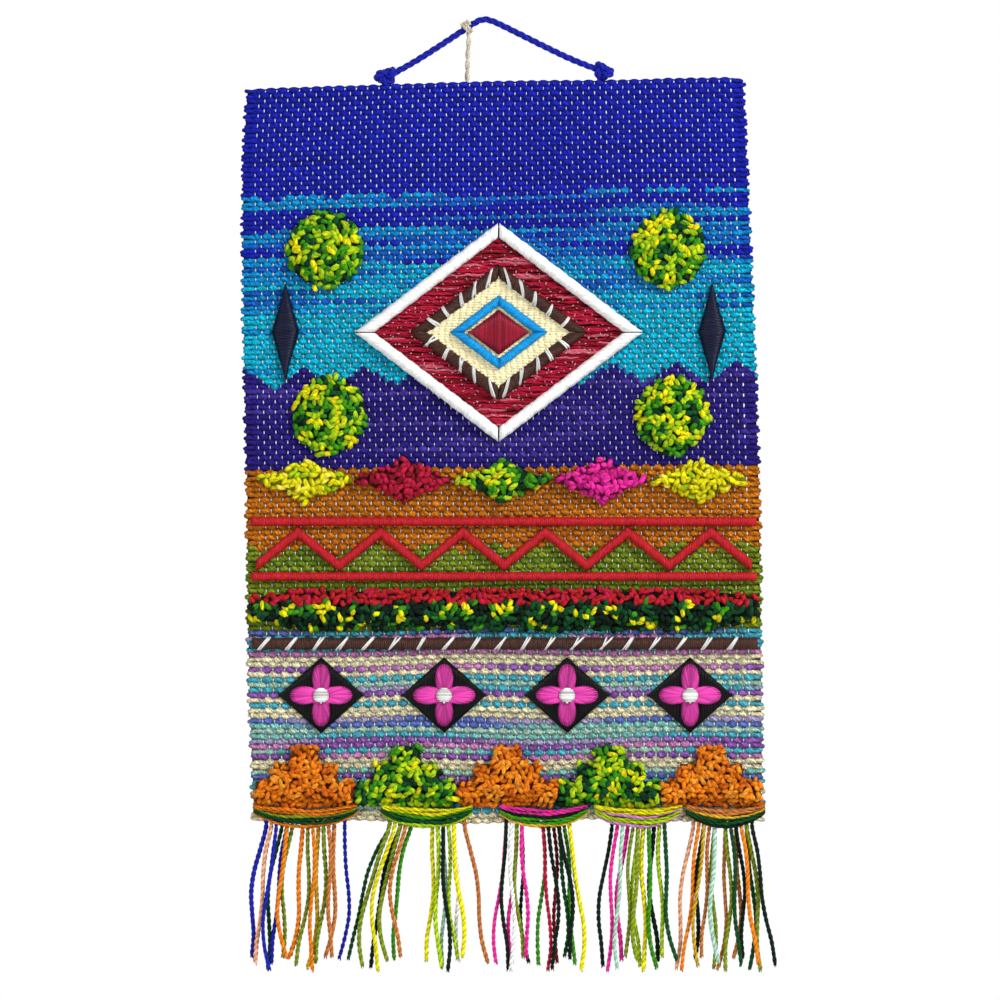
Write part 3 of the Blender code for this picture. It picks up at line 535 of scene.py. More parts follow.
class HangingSizes(bpy.types.PropertyGroup):
    """Sizes of the yarns and threads"""

    warp_count: IntProperty(
        name="Warp threads", description="Warp threads from selvedge to selvedge", default=84, min=20, max=160
    )
    warp_thickness: yarn_size("Warp", "Thickness of a warp thread", 0.00100)
    weave_depth: yarn_size("Weave depth", "How far a pick swings from the cloth's middle layer", 0.00075)
    pile_yarn: yarn_size("Pile yarn", "Thickness of the looped yarn", 0.0032)
    pile_spacing: yarn_size("Pile spacing", "Distance between two loops", 0.0034)
    fringe_yarn: yarn_size("Fringe yarn", "Thickness of a fringe strand", 0.0029)
    thread_pitch: yarn_size("Thread pitch", "Distance between two turns of wrapped thread", 0.0012)
    satin_pitch: yarn_size("Satin pitch", "Distance between two satin stitches", 0.00090)


def sizes():
    """The sizes as they are set."""
    return bpy.context.scene.hanging_sizes


def tint(name):
    """A dye as the linear values that a shader wants."""
    values = np.array(getattr(bpy.context.scene.hanging_dyes, name))
    return np.where(values <= 0.04045, values / 12.92, ((values + 0.055) / 1.055) ** 2.4)


def pick_dye(mix, rng):
    """One dye's tint out of a mix, a little lighter or darker than it is."""
    names = [name for name, _ in mix]
    weights = [weight for _, weight in mix]
    return tint(rng.choices(names, weights)[0]) * rng.uniform(*STITCH_SHADE_RANGE)


# The cloth's shape


def reach(side, down):
    """How far a selvedge lies from the middle, at a distance below the top edge."""
    return np.interp(down, [row["down"] for row in SELVEDGES], [row[side] for row in SELVEDGES])


def middle(down):
    """The x of the cloth's middle, at a distance below the top edge."""
    return (reach("right", down) - reach("left", down)) / 2


def cloth_y(x, z):
    """The y of the cloth's middle layer: its sides curl forward a little, and a long wave runs down it."""
    curl = -SIDE_CURL * (x / CURL_WIDTH) ** 2
    return curl + LONG_WAVE * np.sin(2 * np.pi * z / LONG_WAVE_LENGTH + LONG_WAVE_SLANT * x)


def top_edge(x):
    """The z of the cloth's top edge, which rises from the left and levels out."""
    share = x / (2 * reach("left", 0.0))
    return TOP_TILT * share - TOP_CROWN * share * share


def in_cloth(share, down, height):
    """Points at shares of the cloth's width, distances down and heights in front of its middle layer."""
    share, down, height = np.broadcast_arrays(*map(np.asarray, (share, down, height)))
    left = -reach("left", down)
    x = left + share * (reach("right", down) - left)
    z = top_edge(x) * (1 - down / CLOTH_LENGTH) - down
    return np.stack([x, cloth_y(x, z) - height, z], axis=-1)


def on_cloth(x, z, height):
    """Points at x and z, at a height above the cloth's front and a gap off it."""
    x, z, height = np.broadcast_arrays(*map(np.asarray, (x, z, height)))
    return np.stack([x, cloth_y(x, z) - CLOTH_THICKNESS / 2 - GAP - height, z], axis=-1)


def arch(share):
    """The height of a round section across its width: 0 at its edges and 1 in the middle."""
    return np.sqrt(np.maximum(0.0, 1.0 - (2 * np.asarray(share) - 1) ** 2))


def smooth_line(points, steps):
    """A smooth curve through points: a Catmull-Rom spline, with some steps in each span."""
    points = np.asarray(points, float)
    ends = np.concatenate([[2 * points[0] - points[1]], points, [2 * points[-1] - points[-2]]])
    line = []
    for p0, p1, p2, p3 in zip(ends, ends[1:], ends[2:], ends[3:]):
        for step in range(steps):
            t = step / steps
            near = 2 * p1 + (p2 - p0) * t
            far = (2 * p0 - 5 * p1 + 4 * p2 - p3) * t**2 + (3 * p1 - p0 - 3 * p2 + p3) * t**3
            line.append(0.5 * (near + far))
    return np.array([*line, points[-1]])


def places(route):
    """A route's rows as points."""
    return [(row["x"], row["y"], row["z"]) for row in route]


def lengths_along(points):
    """The distance of each point of a line from its start."""
    steps = np.linalg.norm(np.diff(points, axis=0), axis=1)
    return np.concatenate([[0.0], np.cumsum(steps)])


# Strands of yarn


def strand(points, radius, colour, tilt=0.0, front=1.0, back=1.0):
    """One length of yarn: points down its middle, and its radius, tint, turn and painted shade at the front
    and at the back, at each of them.
    """
    points = np.asarray(points, float)
    count = len(points)
    return {
        "points": points,
        "radius": np.broadcast_to(radius, count).astype(float),
        "tint": np.broadcast_to(colour, (count, 3)).astype(float),
        "tilt": np.broadcast_to(tilt, count).astype(float),
        "front": np.broadcast_to(front, count).astype(float),
        "back": np.broadcast_to(back, count).astype(float),
    }


def section_curve(section):
    """A yarn's section as a closed curve. On a strand that lies on the cloth, its x points out of the cloth.

    A section may be flatter than round, in depth, and it may swell in lobes, which are its plies. Its points
    begin at the turn named start.
    """
    sides, depth = section["sides"], section.get("depth", 1.0)
    lobes, swell, start = section.get("lobes", 0), section.get("swell", 0.0), section.get("start", 0.0)
    curve = bpy.data.curves.new("section", "CURVE")
    curve.dimensions = "2D"
    spline = curve.splines.new("POLY")
    spline.points.add(sides - 1)
    for step, point in enumerate(spline.points):
        turn = 2 * math.pi * step / sides + start
        out = 1 - swell + swell * math.cos(lobes * turn)
        point.co = (depth * out * math.cos(turn), out * math.sin(turn), 0.0, 1.0)
    spline.use_cyclic_u = True
    made = bpy.data.objects.new("section", curve)
    bpy.context.scene.collection.objects.link(made)
    return made


def sweep(strands, section, columns=1):
    """Sweeps a section along each strand, and returns them as one mesh with its tints, painted shade mixed
    in, and its maps.
    """
    profile = section_curve(section)
    curve = bpy.data.curves.new("strands", "CURVE")
    curve.dimensions = "3D"
    curve.twist_mode = "MINIMUM"
    curve.bevel_mode = "OBJECT"
    curve.bevel_object = profile
    for row in strands:
        spline = curve.splines.new("POLY")
        spline.points.add(len(row["points"]) - 1)
        weighted = np.concatenate([row["points"], np.ones((len(row["points"]), 1))], axis=1)
        spline.points.foreach_set("co", weighted.ravel())
        spline.points.foreach_set("radius", row["radius"])
        spline.points.foreach_set("tilt", row["tilt"])
    swept = bpy.data.objects.new("strands", curve)
    bpy.context.scene.collection.objects.link(swept)
    depsgraph = bpy.context.evaluated_depsgraph_get()
    mesh = bpy.data.meshes.new_from_object(swept.evaluated_get(depsgraph))
    for made, data in ((swept, curve), (profile, profile.data)):
        bpy.data.objects.remove(made)
        bpy.data.curves.remove(data)
    for layer in list(mesh.uv_layers):
        mesh.uv_layers.remove(layer)
    rings = sum(len(row["points"]) for row in strands)
    if len(mesh.vertices) != rings * section["sides"]:
        raise RuntimeError(f"a sweep has {len(mesh.vertices)} points in place of {rings * section['sides']}")
    bm = bmesh.new()
    bm.from_mesh(mesh)
    bmesh.ops.holes_fill(bm, edges=[edge for edge in bm.edges if edge.is_boundary], sides=0)
    bmesh.ops.recalc_face_normals(bm, faces=bm.faces)
    bm.to_mesh(mesh)
    bm.free()
    tints, front, back = (np.concatenate([row[key] for row in strands]) for key in ("tint", "front", "back"))
    # Painted shade: each point of a ring mixes its strand's front and back shades by how far it faces the
    # front
    turns = 2 * np.pi * np.arange(section["sides"]) / section["sides"] + section.get("start", 0.0)
    faces_front = 0.5 + 0.5 * np.cos(turns)
    shade = front[:, None] * faces_front + back[:, None] * (1 - faces_front)
    add_tints(mesh, (tints[:, None] * shade[:, :, None]).reshape(-1, 3))
    lay_maps(mesh, strands, section["sides"], columns)
    return mesh


def add_tints(mesh, tints):
    """Gives each of a mesh's points its tint."""
    layer = mesh.color_attributes.new(name="tint", type="FLOAT_COLOR", domain="POINT")
    layer.data.foreach_set("color", np.concatenate([tints, np.ones((len(tints), 1))], axis=1).ravel())


def lay_maps(mesh, strands, sides, columns):
    """Lays a swept mesh's two maps.

    The yarn map runs in metres along a strand and in turns round it, and starts at another place on each. The
    other map is for painting: it gives each strand a strip of its own, with the two ends beside it.
    """
    vertex = np.empty(len(mesh.loops), np.int32)
    mesh.loops.foreach_get("vertex_index", vertex)
    corners = np.empty(len(mesh.polygons), np.int32)
    mesh.polygons.foreach_get("loop_total", corners)
    starts = np.concatenate([[0], np.cumsum(corners)[:-1]])
    face = np.repeat(np.arange(len(corners)), corners)
    ring, side = vertex // sides, vertex % sides
    cap = (np.minimum.reduceat(ring, starts) == np.maximum.reduceat(ring, starts))[face]
    closes = (np.minimum.reduceat(side, starts) == 0) & (np.maximum.reduceat(side, starts) == sides - 1)
    around = side / sides + ((side == 0) & closes[face] & ~cap)

    counts = [len(row["points"]) for row in strands]
    owner = np.repeat(np.arange(len(strands)), counts)[ring]
    distance = [lengths_along(row["points"]) for row in strands]
    along = np.concatenate(distance)[ring]
    share = np.concatenate([line / max(line[-1], 1e-9) for line in distance])[ring]
    offset = (owner * 0.61803) % 1.0
    yarn_map = np.stack([along + 0.05 * offset, around], axis=-1)

    rows = math.ceil(len(strands) / columns)
    column, row = owner % columns, owner // columns
    turn = 2 * np.pi * side / sides
    u = np.where(cap, 0.945 + 0.03 * (share > 0.5) + 0.012 * np.cos(turn), 0.02 + 0.90 * share)
    v = np.where(cap, 0.5 + 0.4 * np.sin(turn), 0.06 + 0.88 * around)
    paint_map = np.stack([(column + u) / columns, (row + v) / rows], axis=-1)
    for name, places_on in (("Yarn", yarn_map), ("OFBake", paint_map)):
        mesh.uv_layers.new(name=name).data.foreach_set("uv", places_on.ravel())
    mesh.uv_layers["Yarn"].active = True
    mesh.uv_layers["Yarn"].active_render = True


def lay_flat_map(mesh):
    """Lays a yarn map of a mesh's own x and z, and returns the point at each of its corners."""
    vertex = np.empty(len(mesh.loops), np.int32)
    mesh.loops.foreach_get("vertex_index", vertex)
    points = np.array([vert.co for vert in mesh.vertices])[vertex]
    mesh.uv_layers.new(name="Yarn").data.foreach_set("uv", points[:, [0, 2]].ravel())
    return points


def add_piece(name, mesh, material, nodes=()):
    """Makes a mesh a finished piece: smooth, riding on the hanging, in place of its nodes."""
    mesh.name = name
    mesh.materials.clear()
    mesh.materials.append(material)
    mesh.polygons.foreach_set("use_smooth", np.ones(len(mesh.polygons), bool))
    mesh.update()
    made = bpy.data.objects.new(name, mesh)
    bpy.context.scene.collection.objects.link(made)
    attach(made, "root")
    if nodes:
        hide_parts(*nodes)
    return made


def laid_rope(line, diameter, plies, twist_length, colours, steps_per_turn=10):
    """The plies of a laid rope along a line, as strands that wind round it."""
    distance = lengths_along(line)
    count = max(8, int(distance[-1] / twist_length * steps_per_turn))
    at = np.linspace(0, distance[-1], count)
    centre = np.stack([np.interp(at, distance, line[:, axis]) for axis in range(3)], axis=-1)
    ahead = np.gradient(centre, axis=0)
    ahead /= np.linalg.norm(ahead, axis=1, keepdims=True)
    side = np.cross(ahead, (0.0, 1.0, 0.0))
    lost = np.linalg.norm(side, axis=1) < 1e-6
    side[lost] = (1.0, 0.0, 0.0)
    side /= np.linalg.norm(side, axis=1, keepdims=True)
    other = np.cross(ahead, side)
    ply_radius = diameter / 2 * {2: 0.60, 3: 0.50}[plies]
    off = diameter / 2 - ply_radius
    made = []
    for ply in range(plies):
        turn = 2 * np.pi * (at / twist_length + ply / plies)
        points = centre + off * (np.cos(turn)[:, None] * side + np.sin(turn)[:, None] * other)
        taper = np.ones(count)
        taper[0] = taper[-1] = 0.7
        made.append(strand(points, ply_radius * taper, colours[ply % len(colours)]))
    return made


# Materials


def node(tree, kind, *feeds, **settings):
    """Adds a node with its settings, and feeds its inputs in order, each from a socket or with a value."""
    made = tree.nodes.new(kind)
    for name, value in settings.items():
        setattr(made, name, value)
    for place, feed in enumerate(feeds):
        if isinstance(feed, bpy.types.NodeSocket):
            tree.links.new(feed, made.inputs[place])
        elif feed is not None:
            made.inputs[place].default_value = feed
    return made


def sum_of(tree, operation, *feeds):
    """A math node's result."""
    return node(tree, "ShaderNodeMath", *feeds, operation=operation).outputs[0]


def scaled(tree, colour, factor):
    """A colour times a value."""
    return node(tree, "ShaderNodeVectorMath", colour, None, None, factor, operation="SCALE").outputs[0]


def new_group(name, inputs, outputs):
    """An empty effect, with its named inputs and outputs."""
    tree = bpy.data.node_groups.new(name, "ShaderNodeTree")
    for label, kind, value in inputs:
        socket = tree.interface.new_socket(name=label, in_out="INPUT", socket_type=kind)
        if value is not None:
            socket.default_value = value
    for label, kind in outputs:
        tree.interface.new_socket(name=label, in_out="OUTPUT", socket_type=kind)
    return tree, tree.nodes.new("NodeGroupInput"), tree.nodes.new("NodeGroupOutput")


def plied_yarn_effect():
    """Plies that wind round a strand, with streaks of fibre along them, from the yarn map, and painted shade
    in the grooves between the plies and at the strand's sides.
    """
    made = bpy.data.node_groups.get("Plied yarn")
    if made:
        return made
    tree, given, result = new_group(
        "Plied yarn",
        [
            ("Tint", "NodeSocketColor", None),
            ("Yarn", "NodeSocketVector", None),
            ("Place", "NodeSocketVector", None),
            ("Twist length", "NodeSocketFloat", 0.009),
            ("Plies", "NodeSocketFloat", 2.0),
            ("Painted groove shade", "NodeSocketFloat", 0.5),
            ("Fibre", "NodeSocketFloat", 0.4),
            ("Streak scale", "NodeSocketFloat", 420.0),
            ("Painted side shade", "NodeSocketFloat", 0.0),
            ("Two tone", "NodeSocketFloat", 0.0),
        ],
        [("Colour", "NodeSocketColor"), ("Height", "NodeSocketFloat"), ("Roughness", "NodeSocketFloat")],
    )
    apart = node(tree, "ShaderNodeSeparateXYZ", given.outputs["Yarn"])
    along, around = apart.outputs[0], apart.outputs[1]
    turns = sum_of(tree, "ADD", sum_of(tree, "DIVIDE", along, given.outputs["Twist length"]), around)
    wobble = node(tree, "ShaderNodeTexNoise", given.outputs["Place"], None, 160.0, 2.0, 0.5)
    turns = sum_of(tree, "MULTIPLY_ADD", sum_of(tree, "SUBTRACT", wobble.outputs[0], 0.5), 0.22, turns)
    plies = sum_of(tree, "MULTIPLY", turns, given.outputs["Plies"])
    wave = sum_of(tree, "SINE", sum_of(tree, "MULTIPLY", plies, math.pi))
    ply = sum_of(tree, "POWER", sum_of(tree, "ABSOLUTE", wave), 0.55)
    tone = sum_of(tree, "MULTIPLY", sum_of(tree, "SIGN", wave), given.outputs["Two tone"])

    lengthwise = sum_of(tree, "MULTIPLY", along, given.outputs["Streak scale"])
    crosswise = sum_of(tree, "MULTIPLY", plies, 3.4)
    lay = node(tree, "ShaderNodeCombineXYZ", lengthwise, crosswise, 0.0)
    streak = node(tree, "ShaderNodeTexNoise", lay.outputs[0], None, 1.0, 3.0, 0.6)
    fine = node(tree, "ShaderNodeTexNoise", given.outputs["Place"], None, 1500.0, 2.0, 0.6)
    fuzz = sum_of(tree, "ADD", streak.outputs[0], sum_of(tree, "MULTIPLY", fine.outputs[0], 0.5))
    fuzz = sum_of(tree, "SUBTRACT", fuzz, 0.75)

    # Painted shade: the strand darker at its sides, where it meets the next strand
    across = sum_of(tree, "SINE", sum_of(tree, "MULTIPLY", around, 2 * math.pi))
    side = sum_of(tree, "POWER", sum_of(tree, "ABSOLUTE", across), 2.5)
    shade = sum_of(tree, "MULTIPLY", side, given.outputs["Painted side shade"])
    # Painted shade in the grooves between the plies
    dip = sum_of(tree, "MULTIPLY", sum_of(tree, "SUBTRACT", 1.0, ply), given.outputs["Painted groove shade"])
    light = sum_of(tree, "SUBTRACT", sum_of(tree, "ADD", 1.0, tone), dip)
    light = sum_of(tree, "MULTIPLY", light, sum_of(tree, "SUBTRACT", 1.0, shade))
    marks = sum_of(tree, "POWER", 2.0, sum_of(tree, "MULTIPLY", fuzz, given.outputs["Fibre"]))
    light = sum_of(tree, "MULTIPLY", light, marks)
    tree.links.new(scaled(tree, given.outputs["Tint"], light), result.inputs["Colour"])
    height = sum_of(tree, "MULTIPLY_ADD", fuzz, given.outputs["Fibre"], ply)
    tree.links.new(height, result.inputs["Height"])
    tree.links.new(sum_of(tree, "MULTIPLY_ADD", fuzz, 0.12, 0.80), result.inputs["Roughness"])
    return tree


def wrapped_thread_effect():
    """Turns of thread side by side round a padded bar, from the yarn map, with painted shade between the
    turns and at the bar's edges.
    """
    made = bpy.data.node_groups.get("Wrapped thread")
    if made:
        return made
    tree, given, result = new_group(
        "Wrapped thread",
        [
            ("Tint", "NodeSocketColor", None),
            ("Yarn", "NodeSocketVector", None),
            ("Place", "NodeSocketVector", None),
            ("Pitch", "NodeSocketFloat", 0.0008),
            ("Slant", "NodeSocketFloat", 0.0012),
            ("Streak", "NodeSocketFloat", 0.3),
            ("Painted edge shade", "NodeSocketFloat", 0.4),
        ],
        [("Colour", "NodeSocketColor"), ("Height", "NodeSocketFloat"), ("Roughness", "NodeSocketFloat")],
    )
    apart = node(tree, "ShaderNodeSeparateXYZ", given.outputs["Yarn"])
    wobble = node(tree, "ShaderNodeTexNoise", given.outputs["Place"], None, 240.0, 2.0, 0.5)
    lean = sum_of(tree, "MULTIPLY", apart.outputs[1], given.outputs["Slant"])
    run = sum_of(tree, "ADD", apart.outputs[0], sum_of(tree, "MULTIPLY_ADD", wobble.outputs[0], 0.0007, lean))
    turn = sum_of(tree, "DIVIDE", run, given.outputs["Pitch"])
    round_thread = sum_of(tree, "ABSOLUTE", sum_of(tree, "SINE", sum_of(tree, "MULTIPLY", turn, math.pi)))
    ridge_height = sum_of(tree, "POWER", round_thread, 0.5)
    each = node(tree, "ShaderNodeTexWhiteNoise", noise_dimensions="1D")
    tree.links.new(sum_of(tree, "FLOOR", turn), each.inputs["W"])
    lengthwise = sum_of(tree, "MULTIPLY", run, 620.0)
    crosswise = sum_of(tree, "MULTIPLY", apart.outputs[1], 2.4)
    lay = node(tree, "ShaderNodeCombineXYZ", lengthwise, crosswise, 0.0)
    strands = node(tree, "ShaderNodeTexNoise", lay.outputs[0], None, 1.0, 3.0, 0.55)
    uneven = sum_of(tree, "SUBTRACT", strands.outputs[0], 0.5)

    # Painted shade between the turns of thread; the streak input sets it, and how strongly the streaks change
    dark = sum_of(tree, "MULTIPLY", sum_of(tree, "SUBTRACT", 1.0, ridge_height), given.outputs["Streak"])
    light = sum_of(tree, "SUBTRACT", sum_of(tree, "MULTIPLY_ADD", each.outputs[0], 0.14, 0.96), dark)
    change = sum_of(tree, "MULTIPLY", given.outputs["Streak"], 3.0)
    light = sum_of(tree, "MULTIPLY", light, sum_of(tree, "MULTIPLY_ADD", uneven, change, 1.0))
    # Painted shade: the bar darker towards its edges, where it curves down to the cloth
    rim = sum_of(tree, "ABSOLUTE", sum_of(tree, "MULTIPLY_ADD", apart.outputs[1], 2.0, -1.0))
    shade = sum_of(tree, "MULTIPLY", sum_of(tree, "POWER", rim, 3.0), given.outputs["Painted edge shade"])
    light = sum_of(tree, "MULTIPLY", light, sum_of(tree, "SUBTRACT", 1.0, shade))
    tree.links.new(scaled(tree, given.outputs["Tint"], light), result.inputs["Colour"])
    height = sum_of(tree, "MULTIPLY_ADD", uneven, 3.0, ridge_height)
    tree.links.new(height, result.inputs["Height"])
    tree.links.new(sum_of(tree, "MULTIPLY_ADD", each.outputs[0], 0.12, 0.36), result.inputs["Roughness"])
    return tree


def yarn_material(name, effect, amounts, sheen=0.25, bump=0.0004, roughness=None):
    """A material of yarn or thread: an effect fed by the piece's tints, its yarn map and its place."""
    made = bpy.data.materials.get(name)
    if made:
        return made
    made = bpy.data.materials.new(name)
    made.use_nodes = True
    tree = made.node_tree
    shader = tree.nodes["Principled BSDF"]
    group = tree.nodes.new("ShaderNodeGroup")
    group.node_tree = effect()
    dyes = node(tree, "ShaderNodeAttribute", attribute_name="tint")
    yarn_map = node(tree, "ShaderNodeUVMap", uv_map="Yarn")
    place = node(tree, "ShaderNodeTexCoord")
    tree.links.new(dyes.outputs["Color"], group.inputs["Tint"])
    tree.links.new(yarn_map.outputs["UV"], group.inputs["Yarn"])
    tree.links.new(place.outputs["Object"], group.inputs["Place"])
    for label, value in amounts.items():
        group.inputs[label].default_value = value
    relief = node(tree, "ShaderNodeBump")
    relief.inputs["Strength"].default_value = 0.8
    relief.inputs["Distance"].default_value = bump
    tree.links.new(group.outputs["Height"], relief.inputs["Height"])
    tree.links.new(relief.outputs["Normal"], shader.inputs["Normal"])
    tree.links.new(group.outputs["Colour"], shader.inputs["Base Color"])
    if roughness is None:
        tree.links.new(group.outputs["Roughness"], shader.inputs["Roughness"])
    else:
        shader.inputs["Roughness"].default_value = roughness
    shader.inputs["Sheen Weight"].default_value = sheen
    shader.inputs["Sheen Roughness"].default_value = 0.45
    shader.inputs["Specular IOR Level"].default_value = 0.12 if roughness is None else 0.22
    return made


def weft_material():
    amounts = {"Twist length": 0.012, "Plies": 2.0, "Painted groove shade": 0.24, "Fibre": 6.0, "Painted side shade": 0.50}
    return yarn_material("soft weft yarn", plied_yarn_effect, amounts, 0.0, 0.0010)


def warp_material():
    amounts = {"Twist length": 0.003, "Plies": 2.0, "Painted groove shade": 0.20, "Fibre": 0.40}
    return yarn_material("white warp thread", plied_yarn_effect, amounts, 0.0, 0.0002)


def pile_material():
    amounts = {"Twist length": 0.009, "Plies": 2.0, "Painted groove shade": 0.50, "Fibre": 2.2}
    return yarn_material("looped pile yarn", plied_yarn_effect, amounts, 0.0, 0.0006)


def fringe_material():
    amounts = {"Twist length": 900.0, "Plies": 2.0, "Painted groove shade": 0.62, "Fibre": 1.6, "Two tone": 0.12}
    return yarn_material("plied fringe yarn", plied_yarn_effect, amounts, 0.0, 0.0004)


def cord_material():
    amounts = {"Twist length": 0.006, "Plies": 3.0, "Painted groove shade": 0.50, "Fibre": 1.8}
    return yarn_material("twisted cord", plied_yarn_effect, amounts, 0.0, 0.0003)


# streak also sets the painted shade between the turns of thread, and edges the painted shade at the bar's
# edges
def wrap_material(name, streak, edges):
    amounts = {"Pitch": sizes().thread_pitch, "Slant": 0.0010, "Streak": streak, "Painted edge shade": edges}
    return yarn_material(name, wrapped_thread_effect, amounts, 0.0, 0.0005)


def satin_material():
    amounts = {"Twist length": 0.004, "Plies": 2.0, "Painted groove shade": 0.20, "Fibre": 0.7, "Painted side shade": 0.5}
    return yarn_material("satin thread", plied_yarn_effect, amounts, 0.0, 0.0001, 0.38)


# The view and the light


def flat_material(name, colour, roughness):
    """A plain material with a faint mottle."""
    made = bpy.data.materials.new(name)
    made.use_nodes = True
    tree = made.node_tree
    shader = tree.nodes["Principled BSDF"]
    place = node(tree, "ShaderNodeTexCoord")
    mottle = node(tree, "ShaderNodeTexNoise", place.outputs["Object"], None, 3.0, 4.0, 0.5)
    light = sum_of(tree, "MULTIPLY_ADD", mottle.outputs[0], 0.03, 0.985)
    shade = node(tree, "ShaderNodeCombineXYZ", *colour)
    tree.links.new(scaled(tree, shade.outputs[0], light), shader.inputs["Base Color"])
    shader.inputs["Roughness"].default_value = roughness
    return made


def soft_lamp(name, place, aim, size, power):
    """A large soft lamp, aimed at a point."""
    lamp = bpy.data.lights.new(name, "AREA")
    lamp.shape = "DISK"
    lamp.size = size
    lamp.energy = power
    made = bpy.data.objects.new(name, lamp)
    made.location = place
    made.rotation_euler = (Vector(aim) - Vector(place)).to_track_quat("-Z", "Y").to_euler()
    bpy.context.scene.collection.objects.link(made)


def make_stage():
    """The camera square to the cloth, soft studio light and a plain pale floor."""
    scene = bpy.context.scene
    scene.view_settings.view_transform = "Standard"
    camera = bpy.data.cameras.new("camera")
    camera.sensor_width = 36.0
    camera.lens = 36.0 * VIEW_DISTANCE / VIEW_HEIGHT
    camera.clip_end = 50.0
    made = bpy.data.objects.new("camera", camera)
    made.location = (VIEW_CENTRE[0], -VIEW_DISTANCE, VIEW_CENTRE[1])
    made.rotation_euler = (math.pi / 2, 0.0, 0.0)
    scene.collection.objects.link(made)
    scene.camera = made

    world = bpy.data.worlds.new("studio")
    world.use_nodes = True
    tree = world.node_tree
    background = tree.nodes["Background"]
    background.inputs["Color"].default_value = (1.0, 1.0, 1.0, 1.0)
    path = node(tree, "ShaderNodeLightPath")
    strength = sum_of(tree, "MULTIPLY_ADD", path.outputs["Is Camera Ray"], 1.0 - AMBIENT, AMBIENT)
    tree.links.new(strength, background.inputs["Strength"])
    scene.world = world

    for row in LAMPS:
        soft_lamp(row["name"], row["place"], LAMP_AIM, row["size"], row["power"])

    bm = bmesh.new()
    bmesh.ops.create_circle(bm, cap_ends=True, segments=96, radius=FLOOR_RADIUS)
    bmesh.ops.translate(bm, verts=bm.verts, vec=(0.0, 0.0, FLOOR_Z))
    mesh = bpy.data.meshes.new("floor")
    bm.to_mesh(mesh)
    bm.free()
    mesh.materials.append(flat_material("pale floor", FLOOR_COLOUR, 0.8))
    floor = bpy.data.objects.new("floor", mesh)
    scene.collection.objects.link(floor)


# The hanging cord and the twine


def knot_line(centre, half, tilt, turns=48):
    """The line of an overhand knot, drawn tight, in a box of half sizes."""
    t = np.linspace(0, 2 * np.pi, turns)
    x = np.sin(t) + 2 * np.sin(2 * t)
    z = np.cos(t) - 2 * np.cos(2 * t)
    y = -np.sin(3 * t)
    points = np.stack([x / 3 * half[0], y * half[1], z / 3 * half[2]], axis=-1)
    cos_tilt, sin_tilt = math.cos(tilt), math.sin(tilt)
    turned = points.copy()
    turned[:, 0] = points[:, 0] * cos_tilt - points[:, 2] * sin_tilt
    turned[:, 2] = points[:, 0] * sin_tilt + points[:, 2] * cos_tilt
    return turned + np.array(centre)


def make_hanging_cord():
    """A blue cord of three plies between two knots on the cloth's top edge."""
    line = smooth_line(places(CORD_ROUTE), 6)
    start = line[0] + (line[0] - line[1]) * CORD_INTO_KNOT
    end = line[-1] + (line[-1] - line[-2]) * CORD_INTO_KNOT
    line = np.array([start, *line, end])
    blues = [tint("cord") * shade for shade in CORD_SHADES]
    plies = laid_rope(line, CORD_DIAMETER, CORD_PLIES, CORD_TWIST_LENGTH, blues, 12)
    mesh = sweep(plies, {"sides": 8})
    cord = add_piece("hanging_cord_laid", mesh, cord_material(), ["hanging_cord"])
    for name, tilt in KNOT_TILTS.items():
        low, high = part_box(name)
        centre = (low + high) / 2
        half = ((high.x - low.x) / 2 - KNOT_INSET, KNOT_HALF_DEPTH, (high.z - low.z) / 2 - KNOT_INSET)
        rounds = knot_line(centre, half, tilt)
        plies = laid_rope(rounds, KNOT_ROPE, CORD_PLIES, KNOT_TWIST_LENGTH, blues, 10)
        mesh = sweep(plies, {"sides": 6})
        add_piece(f"{name}_tied", mesh, cord_material(), [name])


def make_twine():
    """Natural twine of two plies, hitched on the cord, that hangs down behind the cloth."""
    low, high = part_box("twine_hitch")
    centre = np.array((low + high) / 2)
    line = smooth_line(places(CORD_ROUTE), 8)
    near = int(np.argmin(abs(line[:, 0] - HITCH_X)))
    ahead = line[near + 1] - line[near - 1]
    ahead /= np.linalg.norm(ahead)
    side = np.array((0.0, 1.0, 0.0))
    other = np.cross(ahead, side)
    turn = np.linspace(0, HITCH_WINDING, 50)[:, None]
    out = CORD_DIAMETER / 2 + GAP + HITCH_CLEAR
    coil = centre + out * (np.cos(turn) * side + np.sin(turn) * other)
    coil = coil + ahead * (turn / HITCH_WINDING - 0.5) * HITCH_LENGTH
    naturals = [tint("twine") * shade for shade in TWINE_SHADES]
    plies = laid_rope(coil, HITCH_ROPE, TWINE_PLIES, HITCH_TWIST_LENGTH, naturals, 8)
    mesh = sweep(plies, {"sides": 5})
    hitch = add_piece("twine_hitch_tied", mesh, cord_material(), ["twine_hitch"])

    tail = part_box("twine_tail")
    start = (TWINE_ROUTE[0]["x"], TWINE_ROUTE[0]["y"] - TWINE_START, tail[1].z + TWINE_START)
    line = smooth_line([start, *places(TWINE_ROUTE)], 5)
    plies = laid_rope(line, TWINE_DIAMETER * TWINE_LOOSENESS, TWINE_PLIES, TWINE_TWIST_LENGTH, naturals, 16)
    mesh = sweep(plies, {"sides": 7})
    twine = add_piece("twine_tail_laid", mesh, cord_material(), ["twine_tail"])


# The woven ground


def tooth(share):
    """A border's teeth across the cloth, from 0 to 1."""
    across = share * CLOTH_WIDTH / TOOTH_WIDTH
    return np.abs(2 * (across - np.floor(across)) - 1)


def ground_row(down, share):
    """The stretch of ground at each share of the cloth's width, at a distance down."""
    found = np.zeros(np.shape(share), int)
    for number, (above, row) in enumerate(zip(GROUND, GROUND[1:])):
        found = np.where(down > above["to"] - row["border"] * tooth(share), number + 1, found)
    return found


